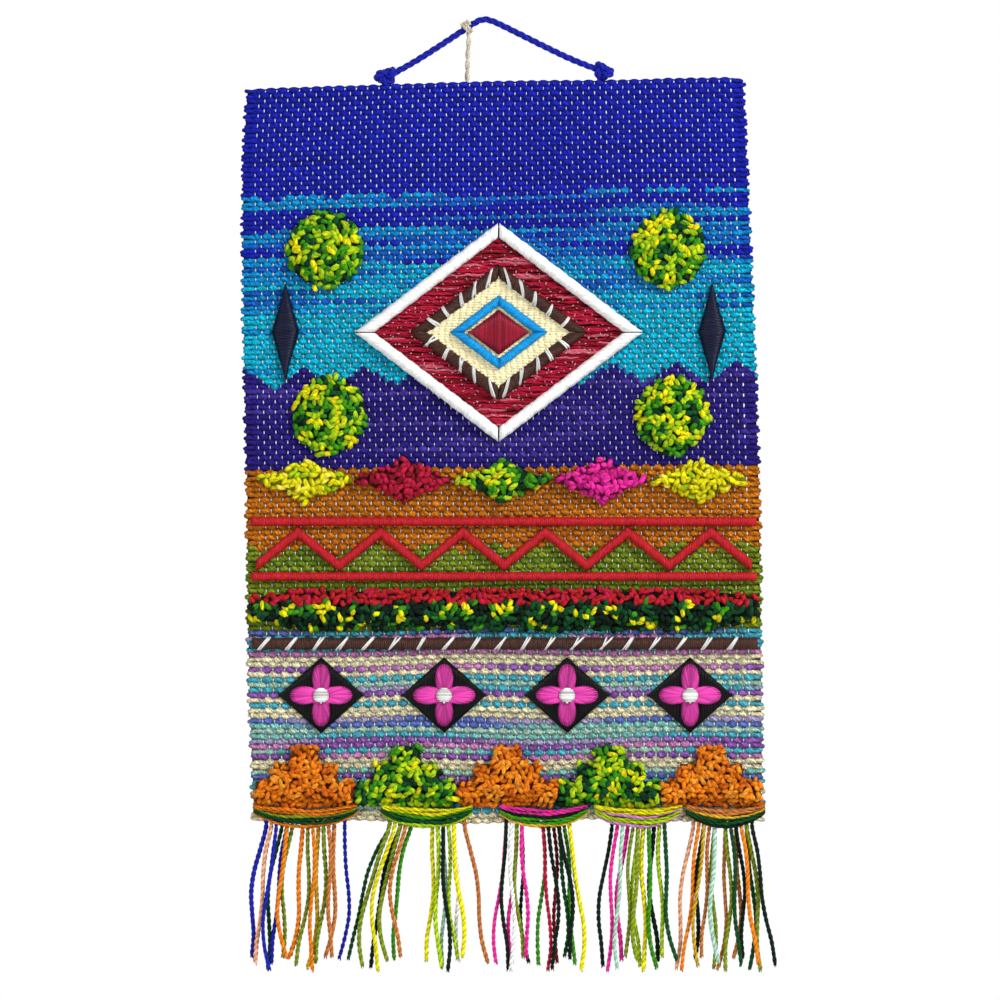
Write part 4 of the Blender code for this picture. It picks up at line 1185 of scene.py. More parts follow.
def pick_downs():
    """How far down each pick lies, and its pitch."""
    picks = []
    down = GROUND[0]["pitch"] * 0.5
    while True:
        row = next(row for row in GROUND if down <= row["to"])
        if down + row["pitch"] * 0.45 > CLOTH_LENGTH:
            return picks
        picks.append((down, row["pitch"]))
        down += row["pitch"]


def runs(share, rng, row):
    """The dye of each point of a pick in one stretch of ground: runs of random length."""
    main, second, third = (tint(name) for name in row["dyes"])
    colours = np.zeros((len(share), 3))
    at = 0.0
    while at < 1.0:
        span = rng.uniform(*RUN_LENGTH_RANGE) * row["run"] / CLOTH_WIDTH
        chance = rng.random()
        if chance < row["second"]:
            chosen = second
        elif chance < row["second"] + row["third"]:
            chosen = third
        else:
            chosen = main
        blend = np.clip((share - at) / RUN_BLEND + 0.5, 0, 1)[:, None] if at > 0 else 1.0
        colours = colours * (1 - blend) + chosen * rng.uniform(*RUN_SHADE_RANGE) * blend
        at += span
    return colours


def pastel(number, share, rng):
    """The tints of a pick in the striped stretch: cream in pairs, and pastels that change along it."""
    if (number % (2 * CREAM_EVERY)) in CREAM_PICKS or rng.random() < CREAM_CHANCE:
        return np.tile(tint("cream") * rng.uniform(*CREAM_SHADE_RANGE), (len(share), 1))
    one, other = tint(rng.choice(PASTELS)), tint(rng.choice(PASTELS))
    wave = 0.5 + 0.5 * np.sin(2 * np.pi * (share * rng.uniform(*PASTEL_WAVES_RANGE) + rng.random()))
    blend = np.clip((wave - 0.35) * PASTEL_BLEND, 0, 1)[:, None]
    return one * blend + other * (1 - blend)


def pick_tints(number, down, share, rng):
    """The tints along a pick."""
    stretch = ground_row(down, share)
    colours = np.empty((len(share), 3))
    for index in np.unique(stretch):
        row = GROUND[index]
        dyed = pastel(number, share, rng) if row["run"] == 0.0 else runs(share, rng, row)
        colours[stretch == index] = dyed[stretch == index]
    return colours


def warp_share(place, width):
    """The share of the cloth's width at a place counted in warp threads."""
    margin = SELVEDGE_FLOAT / width
    return margin + place / (sizes().warp_count - 1) * (1 - 2 * margin)


def pick_strand(number, down, pitch, rng):
    """One pick: it swells over every second warp thread, and dips behind those between."""
    last = sizes().warp_count - 1
    width = float(reach("left", down) + reach("right", down))
    dips = np.arange((number + 1) % 2 - 2, last + 3, 2)
    place = (dips[:, None] + PICK_PLACES).ravel()
    height = np.tile(PICK_HEIGHT, len(dips))
    size = (PICK_SIZE * np.array([[rng.gauss(1, PICK_SIZE_SPREAD)] for _ in dips])).ravel()
    # Painted shade along the pick at its front and at its back, each swell a little lighter or darker at
    # random
    uneven = np.array([[rng.gauss(1, PICK_SHADE_SPREAD)] for _ in dips])
    shade, back = (PICK_SHADE * uneven).ravel(), (PICK_BACK_SHADE * uneven).ravel()
    kept = (place > -PICK_REACH) & (place < last + PICK_REACH)
    beyond = (place[kept] < 0) | (place[kept] > last)
    height = np.where(beyond, TURN_HEIGHT[-1], height[kept])
    size = size[kept]
    shade, back = (np.where(beyond, BEYOND_SHADE, shades[kept]) for shades in (shade, back))
    turn_left, turn_right = rng.uniform(*TURN_PLACE_RANGE), rng.uniform(*TURN_PLACE_RANGE)
    share = np.concatenate([
        (SELVEDGE_TURN + turn_left) / width, warp_share(place[kept], width),
        1 - ((SELVEDGE_TURN + turn_right) / width)[::-1],
    ])
    height = np.concatenate([TURN_HEIGHT, height, TURN_HEIGHT[::-1]]) * sizes().weave_depth
    size = np.concatenate([
        TURN_SIZE * rng.uniform(*TURN_SIZE_RANGE), size, TURN_SIZE[::-1] * rng.uniform(*TURN_SIZE_RANGE)
    ])
    towards = 1 if number % 2 else -1
    turned = np.concatenate([TURN_DROP, np.zeros(kept.sum()), -TURN_DROP[::-1]]) * towards * pitch
    points = in_cloth(share, down + pick_drift(down, share, rng) + turned, height)
    shade = np.concatenate([TURN_SHADE, shade, TURN_SHADE[::-1]])
    back = np.concatenate([TURN_SHADE, back, TURN_SHADE[::-1]])
    radius = pitch * 0.5 * rng.uniform(*PICK_RADIUS_RANGE) * size
    return strand(points, radius, pick_tints(number, down, share, rng), 0.0, shade, back)


def pick_drift(down, share, rng):
    """How far a pick lies below its line: the rows wander together, more so lower down, and each a little."""
    together = ROW_WANDER * (WANDER_TOP + WANDER_GROWTH * (down / CLOTH_LENGTH) ** 2)
    wave = np.sin(2 * np.pi * (share * WANDER_WAVES_ACROSS + down * WANDER_WAVES_DOWN))
    line = together * wave * np.sin(np.pi * share)
    return line + PICK_WOBBLE * np.sin(2 * np.pi * (share * rng.uniform(1, 3) + rng.random()))


def warp_strands(picks):
    """The warp threads: each shows between the swells of the picks, and takes a hint of their dye."""
    stains = np.array([tint(row["dyes"][0]) for row in GROUND])
    stains = 1 - WARP_STAIN * (1 - stains / stains.max(axis=1, keepdims=True))
    made = []
    downs = np.array([down for down, _ in picks])
    pitches = np.array([pitch for _, pitch in picks])
    numbers = np.arange(len(picks))
    steady = random.Random(2)
    for thread in range(sizes().warp_count):
        front = (thread + numbers) % 2 == 1
        shows = WARP_SHOWS * pitches[front]
        down = np.concatenate([downs[front] - shows, downs[front] + shows, downs[~front]])
        height = np.repeat([WARP_FRONT, WARP_BACK], [2 * front.sum(), (~front).sum()])
        order = np.argsort(down)
        down, height = down[order], height[order]
        width = reach("left", down) + reach("right", down)
        share = warp_share(thread, width)
        points = in_cloth(share, down + pick_drift(down, share, steady), height)
        colours = tint("warp") * stains[ground_row(down, share)]
        made.append(strand(points, sizes().warp_thickness / 2, colours))
    return made


def thin_sheet():
    """A thin sheet in the middle of the cloth: the ground's dyes darkened, as painted shade in the gaps
    between the yarns.
    """
    bm = bmesh.new()
    bmesh.ops.create_grid(bm, x_segments=24, y_segments=36, size=0.5)
    shares = SHEET_START + SHEET_SPAN * np.array([vert.co.x + 0.5 for vert in bm.verts])
    downs = np.array([(0.5 - vert.co.y) * CLOTH_LENGTH for vert in bm.verts])
    for vert, place in zip(bm.verts, in_cloth(shares, SHEET_TOP + downs * SHEET_LENGTH, SHEET_HEIGHT)):
        vert.co = place
    bmesh.ops.recalc_face_normals(bm, faces=bm.faces)
    made = bmesh.ops.extrude_face_region(bm, geom=bm.faces[:])["geom"]
    back = [item for item in made if isinstance(item, bmesh.types.BMVert)]
    bmesh.ops.translate(bm, verts=back, vec=(0, SHEET_THICKNESS, 0))
    bmesh.ops.recalc_face_normals(bm, faces=bm.faces)
    mesh = bpy.data.meshes.new("woven_cloth")
    bm.to_mesh(mesh)
    bm.free()
    lay_flat_map(mesh)
    tints = []
    for vert in mesh.vertices:
        down = -vert.co.z
        share = (vert.co.x + float(reach("left", down))) / CLOTH_WIDTH
        row = GROUND[int(ground_row(down, np.array(share)))]
        # Painted shade: the ground's dye, darkened
        tints.append(tint(row["dyes"][0]) * SHEET_SHADE)
    add_tints(mesh, np.array(tints))
    return mesh


def make_ground():
    """The woven ground: the warp threads, the picks woven through them, and a thin sheet in the middle."""
    rng = random.Random(11)
    picks = pick_downs()
    strands = [pick_strand(number, down, pitch, rng) for number, (down, pitch) in enumerate(picks)]
    section = {"sides": 6, "depth": PICK_FLATNESS, "start": math.pi}
    thirds = np.array_split(np.arange(len(strands)), 3)
    for word, members in zip(("upper", "middle", "lower"), thirds):
        mesh = sweep([strands[i] for i in members], section)
        add_piece(f"weft_{word}", mesh, weft_material())
    warp = sweep(warp_strands(picks), {"sides": 3, "start": math.pi / 2})
    add_piece("warp", warp, warp_material())
    cloth = add_piece("woven_cloth", thin_sheet(), weft_material(), ["cloth"])


# Wrapped bars and rails


def wrapped_bar(name, edges, rise, base, dyed, replaced, step=0.0014, across=10):
    """A padded bar wrapped in thread, between two edges: pairs of (x, z) points, one on each edge."""
    edges = np.asarray(edges, float)
    centre = edges.mean(axis=1)
    distance = lengths_along(centre)
    count = max(4, int(distance[-1] / step))
    at = np.linspace(0, distance[-1], count + 1)
    one = np.stack([np.interp(at, distance, edges[:, 0, axis]) for axis in (0, 1)], axis=-1)
    other = np.stack([np.interp(at, distance, edges[:, 1, axis]) for axis in (0, 1)], axis=-1)
    profile = across + 3
    bm = bmesh.new()
    bmesh.ops.create_grid(bm, x_segments=count, y_segments=profile, size=0.5, calc_uvs=False)
    uv = bm.loops.layers.uv.new("Yarn")
    paint = bm.loops.layers.uv.new("OFBake")
    where = {}
    for vert in bm.verts:
        i = round((vert.co.x + 0.5) * count)
        j = round((vert.co.y + 0.5) * profile)
        where[vert] = (i, j)
        swell = 1 + BAR_SWELL * math.sin(i * 1.1 + base * 9000) * math.sin(i * 0.43)
        round_end = 1 - BAR_END_FALL * max(0.0, 1 - min(i, count - i) / BAR_END_STEPS)
        if 1 <= j <= across + 1:
            share = (j - 1) / across
            crown = float(arch(share))
            height = RIM + (rise * swell * round_end - RIM) * crown
        else:
            share = 0.0 if j in (0, profile) else 1.0
            height = 0.0
        waver = BAR_WAVER * math.sin(i * 0.8 + 2 * share) + BAR_FINE_WAVER * math.sin(i * 1.9 + 5 * share)
        x, z = one[i] + (share + waver) * (other[i] - one[i])
        vert.co = on_cloth(x, z, base + height)
    for face in bm.faces:
        for loop in face.loops:
            i, j = where[loop.vert]
            loop[uv].uv = (at[i], j / profile)
            loop[paint].uv = (0.02 + 0.96 * i / count, 0.02 + 0.96 * j / profile)
    bmesh.ops.remove_doubles(bm, verts=bm.verts, dist=1e-6)
    bmesh.ops.holes_fill(bm, edges=[edge for edge in bm.edges if edge.is_boundary], sides=0)
    bmesh.ops.recalc_face_normals(bm, faces=bm.faces)
    mesh = bpy.data.meshes.new(name)
    bm.to_mesh(mesh)
    bm.free()
    add_tints(mesh, np.tile(tint(dyed), (len(mesh.vertices), 1)))
    material = wrap_material(f"{dyed} wrapped thread", *WRAP_LOOKS[dyed])
    return add_piece(name, mesh, material, [replaced])


def medallion_point(side_x, side_z, share):
    """A corner of one of the medallion's diamonds: its sides are -1, 0 or 1, its share the diamond's size."""
    x = float(middle(MEDALLION_DOWN)) + side_x * share * MEDALLION_HALF_WIDTH
    return np.array((x, -MEDALLION_DOWN + side_z * share * MEDALLION_HALF_HEIGHT))


def medallion_edges(side_x, side_z, outer, width):
    """The two edges of one of a diamond's four bars."""
    side = math.hypot(MEDALLION_HALF_WIDTH, MEDALLION_HALF_HEIGHT)
    inner = outer - width * side / (MEDALLION_HALF_WIDTH * MEDALLION_HALF_HEIGHT)
    edges = []
    for share in np.linspace(MITRE_GAP, 1 - MITRE_GAP, 9):
        pair = []
        for line in (outer, inner):
            tip, corner = medallion_point(0, side_z, line), medallion_point(side_x, 0, line)
            pair.append(tip + share * (corner - tip))
        edges.append(pair)
    return edges


def rail_edges(down, width):
    """The two edges of a rail from one selvedge to the other."""
    left = -float(reach("left", down)) + SIDE_MARGIN
    right = float(reach("right", down)) - SIDE_MARGIN
    return [((x, -down - width / 2), (x, -down + width / 2)) for x in np.linspace(left, right, 15)]


def zigzag_edges():
    """The two edges of the zigzag between the coral rails."""
    clear = THIN_WRAP_WIDTH / 2 + GAP
    high = -TRELLIS_UPPER_DOWN - clear
    low = -TRELLIS_LOWER_DOWN + clear
    left = -float(reach("left", TRELLIS_LOWER_DOWN)) + 2 * SIDE_MARGIN
    right = float(reach("right", TRELLIS_LOWER_DOWN)) - 2 * SIDE_MARGIN
    run = (right - left) / ZIGZAG_LEGS
    rise = high - low
    tall = min(THIN_WRAP_WIDTH * math.hypot(run, rise - THIN_WRAP_WIDTH) / run, 0.45 * rise)
    edges = []
    for leg in range(ZIGZAG_LEGS + 1):
        x = left + leg * run
        z = (high - tall) if leg % 2 else low
        edges.append(((x, z), (x, z + tall)))
    return edges


def lashings(edges, rise, base, spacing, rng):
    """White threads lashed slantwise over a bar, two by two, a pair now side by side and now crossing."""
    edges = np.asarray(edges, float)
    distance = lengths_along(edges.mean(axis=1))
    made = []
    for at in np.arange(spacing * 0.6, distance[-1] - spacing * 0.3, spacing):
        at += rng.uniform(-LASHING_JITTER, LASHING_JITTER) * spacing
        for turn in (-1, 1):
            share = np.linspace(0.0, 1.0, 11)
            slant = LASHING_LEAN * rng.uniform(*LASHING_LEAN_RANGE)
            apart = LASHING_APART + rng.uniform(*LASHING_CROSS_RANGE) * share
            along = at + slant * (share - 0.5) + turn * apart
            along = np.clip(along, 0, distance[-1])
            one = np.stack([np.interp(along, distance, edges[:, 0, axis]) for axis in (0, 1)], axis=-1)
            other = np.stack([np.interp(along, distance, edges[:, 1, axis]) for axis in (0, 1)], axis=-1)
            over = one + share[:, None] * (other - one)
            height = base + RIM + (rise - RIM) * arch(share) + LASHING_LIFT
            made.append(strand(on_cloth(over[:, 0], over[:, 1], height), LASHING_RADIUS, tint("white")))
    return made


def make_wrapped_bars():
    """Padded bars wrapped in thread: round the medallion, the rails, and the zigzag between them."""
    on_red = RIM + GAP
    on_cream = on_red + FIELD_HEIGHT + GAP
    rings = [
        {"kind": "white_edge", "line": WHITE_EDGE, "width": WRAP_WIDTH, "rise": WRAP_HEIGHT, "base": 0.0,
         "dye": "white", "slot": "white_wrap"},
        {"kind": "brown_bar", "line": BROWN_EDGE, "width": WRAP_WIDTH, "rise": WRAP_HEIGHT, "base": on_red,
         "dye": "brown", "slot": "brown_wrap"},
        {"kind": "blue_bar", "line": BLUE_EDGE, "width": THIN_WRAP_WIDTH, "rise": THIN_WRAP_HEIGHT,
         "base": on_cream, "dye": "cyan", "slot": "cyan_wrap"},
    ]
    rng = random.Random(9)
    threads = []
    for ring in rings:
        for quarter, (side_x, side_z) in QUARTERS.items():
            edges = medallion_edges(side_x, side_z, ring["line"], ring["width"])
            name = f"{ring['kind']}_{quarter}"
            wrapped_bar(
                f"{name}_wrapped", edges, ring["rise"], ring["base"], ring["dye"], name
            )
            if ring["kind"] == "brown_bar":
                threads += lashings(edges, ring["rise"], ring["base"], BAR_LASHING_SPACING, rng)
    for word, down in (("upper", TRELLIS_UPPER_DOWN), ("lower", TRELLIS_LOWER_DOWN)):
        name = f"coral_rail_{word}"
        edges = rail_edges(down, THIN_WRAP_WIDTH)
        wrapped_bar(f"{name}_wrapped", edges, THIN_WRAP_HEIGHT, 0.0, "coral", name)
    wrapped_bar(
        "coral_zigzag_wrapped", zigzag_edges(), THIN_WRAP_HEIGHT, 0.0, "coral", "coral_zigzag"
    )
    edges = rail_edges(BROWN_RAIL_DOWN, WRAP_WIDTH)
    wrapped_bar("brown_rail_wrapped", edges, WRAP_HEIGHT, 0.0, "brown", "brown_rail")
    threads += lashings(edges, WRAP_HEIGHT, 0.0, RAIL_LASHING_SPACING, rng)
    add_piece("lashings", sweep(threads, {"sides": 6}, 8), satin_material())


# Stitched fields


def merged_copy(name):
    """A copy of a solid's mesh, its points merged, as a bmesh."""
    bm = bmesh.new()
    bm.from_mesh(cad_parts[name].data)
    bmesh.ops.remove_doubles(bm, verts=bm.verts, dist=1e-6)
    bmesh.ops.recalc_face_normals(bm, faces=bm.faces)
    return bm


def backing(name, dyed, share, base=0.0, shade=0.30):
    """A flattened copy of a solid for its threads to lie on, its dye darkened as painted shade in the gaps
    between them.
    """
    bm = merged_copy(name)
    low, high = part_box(name)
    for vert in bm.verts:
        back = float(cloth_y(vert.co.x, vert.co.z)) - CLOTH_THICKNESS / 2 - GAP - base
        vert.co.y = back - max(0.0, back - vert.co.y) * share
    made = bpy.data.meshes.new(f"{name}_backing")
    bm.to_mesh(made)
    bm.free()
    points = lay_flat_map(made)
    across = (points[:, 0] - low.x) / (high.x - low.x)
    up = (points[:, 2] - low.z) / (high.z - low.z)
    paint = np.stack([0.02 + 0.96 * across, 0.935 + 0.06 * up], axis=-1)
    made.uv_layers.new(name="OFBake").data.foreach_set("uv", paint.ravel())
    # Painted shade: the dye times the shade
    add_tints(made, np.tile(tint(dyed) * shade, (len(made.vertices), 1)))
    return made


def squeezed(mesh, tall=STRANDS_SHARE, lifted=0.0):
    """A mesh whose painting map takes up only a part of the map's height."""
    layer = mesh.uv_layers["OFBake"].data
    spots = np.empty(len(layer) * 2)
    layer.foreach_get("uv", spots)
    spots[1::2] = spots[1::2] * tall + lifted
    layer.foreach_set("uv", spots)
    return mesh


def joined(meshes):
    """Several meshes as one, with the tints and maps that they share."""
    bm = bmesh.new()
    for mesh in meshes:
        bm.from_mesh(mesh)
    made = bpy.data.meshes.new("joined")
    bm.to_mesh(made)
    bm.free()
    for mesh in meshes:
        bpy.data.meshes.remove(mesh)
    return made


def lozenge_span(z, centre, half_width, half_height):
    """How far a lozenge reaches to each side of its middle, at z."""
    return half_width * max(0.0, 1 - abs(z - centre[1]) / half_height)


def make_long_stitches():
    """The crimson field of long loose stitches, from the white bars to the brown ones."""
    rng = random.Random(5)
    centre = medallion_point(0, 0, 0)
    half_width, half_height = RED_FIELD * MEDALLION_HALF_WIDTH, RED_FIELD * MEDALLION_HALF_HEIGHT
    hidden_width, hidden_height = HIDDEN * MEDALLION_HALF_WIDTH, HIDDEN * MEDALLION_HALF_HEIGHT
    made = []
    for z in np.arange(centre[1] - half_height + 0.001, centre[1] + half_height, STITCH_ROW_PITCH):
        span = lozenge_span(z, centre, half_width, half_height)
        inner = lozenge_span(z, centre, hidden_width, hidden_height)
        sides = [(-span, -inner), (inner, span)] if inner > 0 else [(-span, span)]
        for start, end in sides:
            at = start
            while at < end - STITCH_SHORTEST:
                stop = min(end, at + rng.uniform(*STITCH_LENGTH_RANGE))
                count = max(4, int((stop - at) / STITCH_STEP) + 2)
                share = np.linspace(0, 1, count)
                rise = np.sin(np.pi * share)
                x = centre[0] + at - STITCH_OVERLAP + share * (stop - at + 2 * STITCH_OVERLAP)
                bend = rng.uniform(-STITCH_BEND, STITCH_BEND) * rise
                bend = bend + STITCH_WOBBLE * np.sin(2 * np.pi * (share * rng.uniform(1, 3) + rng.random()))
                lift = STITCH_LIFT + rng.uniform(*STITCH_LIFT_RANGE) * rise
                colour = pick_dye(STITCH_MIX, rng)
                size = rng.uniform(*STITCH_RADIUS_RANGE) * (0.75 + 0.25 * rise)
                made.append(strand(on_cloth(x, z + bend, lift), size, colour))
                at = stop
    jitter = FLECK_SPACING / 2
    for x in np.arange(-half_width, half_width, FLECK_SPACING):
        for z in np.arange(centre[1] - half_height, centre[1] + half_height, FLECK_SPACING):
            across, height = x + rng.uniform(-jitter, jitter), z + rng.uniform(-jitter, jitter)
            outer = lozenge_span(height, centre, half_width, half_height) - FLECK_MARGIN
            inner = lozenge_span(height, centre, hidden_width, hidden_height) + FLECK_MARGIN
            if not inner <= abs(across) <= outer:
                continue
            turn = rng.uniform(0, math.pi)
            step = np.array([-0.5, 0.0, 0.5]) * rng.uniform(*FLECK_LENGTH_RANGE)
            xs = centre[0] + across + step * math.cos(turn)
            points = on_cloth(xs, height + step * math.sin(turn), FLECK_HEIGHT)
            made.append(strand(points, FLECK_RADII, tint("white") * rng.uniform(*FLECK_SHADE_RANGE)))
    mesh = joined([squeezed(sweep(made, {"sides": 5}, 16)), backing("red_field", "brick", 0.5)])
    add_piece("red_field_stitches", mesh, pile_material(), ["red_field"])


def make_chain_ground():
    """The cream field of chain stitches, between the brown bars and the blue ones."""
    rng = random.Random(8)
    centre = medallion_point(0, 0, 0)
    half_width, half_height = CREAM_FIELD * MEDALLION_HALF_WIDTH, CREAM_FIELD * MEDALLION_HALF_HEIGHT
    base = RIM + GAP
    made = []
    rows = int(2 * half_height / CHAIN_PITCH)
    share = np.linspace(0, 1, 6)
    rise = np.sin(np.pi * share)
    for row in range(rows + 1):
        z = centre[1] - half_height + row * CHAIN_PITCH
        span = lozenge_span(z, centre, half_width, half_height)
        for x in np.arange(centre[0] - span, centre[0] + span, CHAIN_LINK):
            for side in (-1, 1):
                xs = x + CHAIN_LINK * (share - 0.5) * CHAIN_OVERLAP + rng.gauss(0, CHAIN_UNEVEN_X)
                bow = side * CHAIN_PITCH * (CHAIN_NARROW + CHAIN_BOW * rise)
                zs = z + bow + rng.gauss(0, CHAIN_UNEVEN_Z)
                lift = base + CHAIN_LIFT + CHAIN_LIFT * rise
                size = CHAIN_RADIUS * (0.66 + 0.36 * rise)
                colour = tint("cream") * rng.uniform(*CHAIN_SHADE_RANGE)
                made.append(strand(on_cloth(xs, zs, lift), size, colour))
    links = squeezed(sweep(made, {"sides": 5}, 24))
    mesh = joined([links, backing("cream_field", "cream", 0.6, base, 0.82)])
    add_piece("cream_field_chain", mesh, warp_material(), ["cream_field"])


# Satin stitch


def satin_threads(pairs, rise, base, dyed, rng):
    """Satin stitches from the first to the second point of each pair, over padding."""
    made = []
    for one, other in pairs:
        share = np.linspace(0, 1, 7)
        x = one[0] + share * (other[0] - one[0])
        z = one[1] + share * (other[1] - one[1])
        height = base + RIM * 0.6 + (rise - RIM) * arch(share) * rng.uniform(*SATIN_RISE_RANGE)
        radius = sizes().satin_pitch * SATIN_RADIUS * rng.uniform(*SATIN_SIZE_RANGE)
        radius = radius * (0.7 + 0.3 * arch(share))
        made.append(strand(on_cloth(x, z, height), radius, tint(dyed) * rng.uniform(*SATIN_SHADE_RANGE)))
    return made


def satin_piece(name, threads, dyed, share=0.6, base=0.0):
    """Satin stitches over a backing, in place of a solid."""
    mesh = sweep(threads, {"sides": 5, "start": math.pi}, 4)
    mesh = joined([squeezed(mesh), backing(name, dyed, share, base)])
    add_piece(f"{name}_satin", mesh, satin_material(), [name])


def straight_pairs(centre, half_width, half_height, upright, slant=0.0):
    """The ends of parallel stitches across a lozenge."""
    pairs = []
    length, width = (half_width, half_height) if upright else (half_height, half_width)
    for at in np.arange(-length, length, sizes().satin_pitch):
        span = width * max(0.04, 1 - abs(at) / length)
        if upright:
            pairs.append((centre + (at, -span), centre + (at + slant, span)))
        else:
            pairs.append((centre + (-span, at), centre + (span, at + slant)))
    return pairs


def make_satin():
    """Satin-stitched pieces: the navy lozenges, the flowers and the middle of the medallion."""
    rng = random.Random(3)
    pitch = sizes().satin_pitch
    for side, word in ((-1, "left"), (1, "right")):
        centre = np.array((float(middle(MEDALLION_DOWN)) + side * NAVY_ACROSS, -MEDALLION_DOWN))
        pairs = straight_pairs(centre, NAVY_HALF_WIDTH, NAVY_HALF_HEIGHT, False, 0.0012)
        threads = satin_threads(pairs, NAVY_HEIGHT, 0.0, "navy", rng)
        satin_piece(f"navy_lozenge_{word}", threads, "navy")

    on_cream = RIM + GAP + FIELD_HEIGHT + GAP
    half_width, half_height = CENTRE_LOZENGE * MEDALLION_HALF_WIDTH, CENTRE_LOZENGE * MEDALLION_HALF_HEIGHT
    pairs = straight_pairs(medallion_point(0, 0, 0), half_width, half_height, True)
    threads = satin_threads(pairs, THIN_WRAP_HEIGHT - GAP, on_cream, "crimson", rng)
    satin_piece("centre_lozenge", threads, "crimson", 0.6, on_cream)

    on_ground = RIM + 2 * GAP
    on_petals = on_ground + PETAL_HEIGHT + GAP
    for number in range(FLOWER_COUNT):
        offset = (number - (FLOWER_COUNT - 1) / 2) * FLOWER_PITCH
        centre = np.array((float(middle(FLOWER_DOWN)) + offset, -FLOWER_DOWN))
        kind = f"flower_{number + 1}"
        pairs = straight_pairs(centre, FLOWER_HALF_WIDTH, FLOWER_HALF_HEIGHT, True)
        threads = satin_threads(pairs, RIM + GAP, 0.0, "black", rng)
        satin_piece(f"{kind}_ground", threads, "black")
        pairs = []
        for turn in np.arange(0, 2 * math.pi, PETAL_TURN):
            out = np.array((math.cos(turn), math.sin(turn)))
            radius = PETAL_WAIST + (PETAL_LENGTH - PETAL_WAIST) * abs(math.cos(2 * turn)) ** PETAL_POINT
            pairs.append((centre + out * PETAL_START, centre + out * radius))
        threads = satin_threads(pairs, PETAL_HEIGHT, on_ground, "pink", rng)
        satin_piece(f"{kind}_petals", threads, "magenta", 0.6, on_ground)
        pairs = []
        for z in np.arange(-BUTTON_RADIUS, BUTTON_RADIUS + pitch / 2, pitch):
            span = math.sqrt(max(0.0, BUTTON_RADIUS**2 - z * z)) + BUTTON_EDGE
            pairs.append((centre + (-span, z), centre + (span, z)))
        threads = satin_threads(pairs, FIELD_HEIGHT, on_petals, "white", rng)
        satin_piece(f"{kind}_button", threads, "white", 0.6, on_petals)


# Looped pile


def pile_dye(row, x, z, rng):
    """A loop's tint: the dyes of a mix gather in patches, in their order, with some strays."""
    mix = row["mix"]
    trim_z = -BAND_DOWN + BAND_TRIM_FROM + BAND_TRIM_WAVE * math.sin(BAND_TRIM_WAVES * x)
    if row["node"] == "pile_band" and z > trim_z:
        mix = BAND_TRIM
    patch = noise.noise(Vector((x, z, 0.0)) * PATCH_SCALE + PATCH_PLACE)
    at = min(max(0.5 + PATCH_STRENGTH * patch + rng.uniform(-PATCH_STRAY, PATCH_STRAY), 0.0), 0.999)
    total = sum(weight for _, weight in mix)
    for name, weight in mix:
        at -= weight / total
        if at < 0:
            return tint(name) * rng.uniform(*LOOP_SHADE_RANGE)
    return tint(mix[-1][0])


def pile_loops(row, rng):
    """Loops of yarn in rows over a mound, each standing on it at a random turn."""
    bm = merged_copy(row["node"])
    tree = BVHTree.FromBMesh(bm)
    bm.free()
    low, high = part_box(row["node"])
    scale = row.get("scale", 1.0)
    spacing = sizes().pile_spacing * scale
    yarn = sizes().pile_yarn / 2 * scale
    angle = np.radians(np.linspace(-LOOP_TURN, LOOP_TURN, LOOP_POINTS))
    # Painted shade: each loop darker towards its ends, where it goes down into the mound
    shade = 0.18 + 0.82 * np.cos(angle).clip(0, 1) ** 0.8
    made = []
    for step, z in enumerate(np.arange(low.z - 0.0004, high.z + 0.0008, spacing * LOOP_ROW_PITCH)):
        for x in np.arange(low.x + (step % 2) * spacing / 2, high.x, spacing):
            at_x = x + rng.uniform(-LOOP_JITTER, LOOP_JITTER) * spacing
            at_z = z + rng.uniform(-LOOP_JITTER, LOOP_JITTER) * spacing
            inside_z = min(max(at_z, low.z + MOUND_INSET), high.z - MOUND_INSET)
            hit, normal, _, _ = tree.ray_cast(Vector((at_x, -1.0, inside_z)), Vector((0, 1, 0)))
            if hit is None:
                continue
            front = float(cloth_y(at_x, at_z)) - CLOTH_THICKNESS / 2
            lean = (Vector((0, -1, 0)) * 1.2 + normal * 0.7).normalized()
            turn = rng.uniform(0, math.pi)
            flat = Vector((math.cos(turn), 0, math.sin(turn)))
            flat = (flat - lean * flat.dot(lean)).normalized()
            half, rise = rng.uniform(*LOOP_HALF_WIDTH_RANGE) * scale, rng.uniform(*LOOP_RISE_RANGE) * scale
            thick = yarn * rng.uniform(*LOOP_THICKNESS_RANGE)
            depth = max(front - hit.y - rise - thick + rng.uniform(*LOOP_OUT_RANGE), 0.0)
            centre = Vector((at_x, front - depth, at_z))
            points = [centre + flat * half * math.sin(a) + lean * rise * math.cos(a) for a in angle]
            size = thick * (0.74 + 0.26 * np.cos(angle))
            made.append(strand(points, size, pile_dye(row, at_x, at_z, rng) * shade[:, None], turn))
    return made


def make_pile():
    """Looped pile: chunky loops over a mound, for the rosettes, the garland, the band and the step motifs."""
    rng = random.Random(21)
    for row in PILES:
        loops = sweep(pile_loops(row, rng), {"sides": 6, "depth": LOOP_FLATNESS}, 16)
        # The mound, its dye darkened as painted shade between the loops
        mound = backing(row["node"], row["mound"], MOUND_SHARE, 0.0, MOUND_SHADE)
        mesh = joined([squeezed(loops), mound])
        add_piece(f"{row['node']}_loops", mesh, pile_material(), [row["node"]])


# The fringe


def droop(bundle, x):
    """How far a bundle hangs below its ends at x."""
    share = (x - bundle["left"]) / (bundle["right"] - bundle["left"])
    return BUNDLE_DROOP * np.maximum(0.0, 1 - (2 * share - 1) ** 2)


def bundle_depth(share):
    """How far a bundle's lower edge hangs below its upper one, at a share of its width."""
    return BUNDLE_HEIGHT * (BUNDLE_END + (1 - BUNDLE_END) * arch(share))


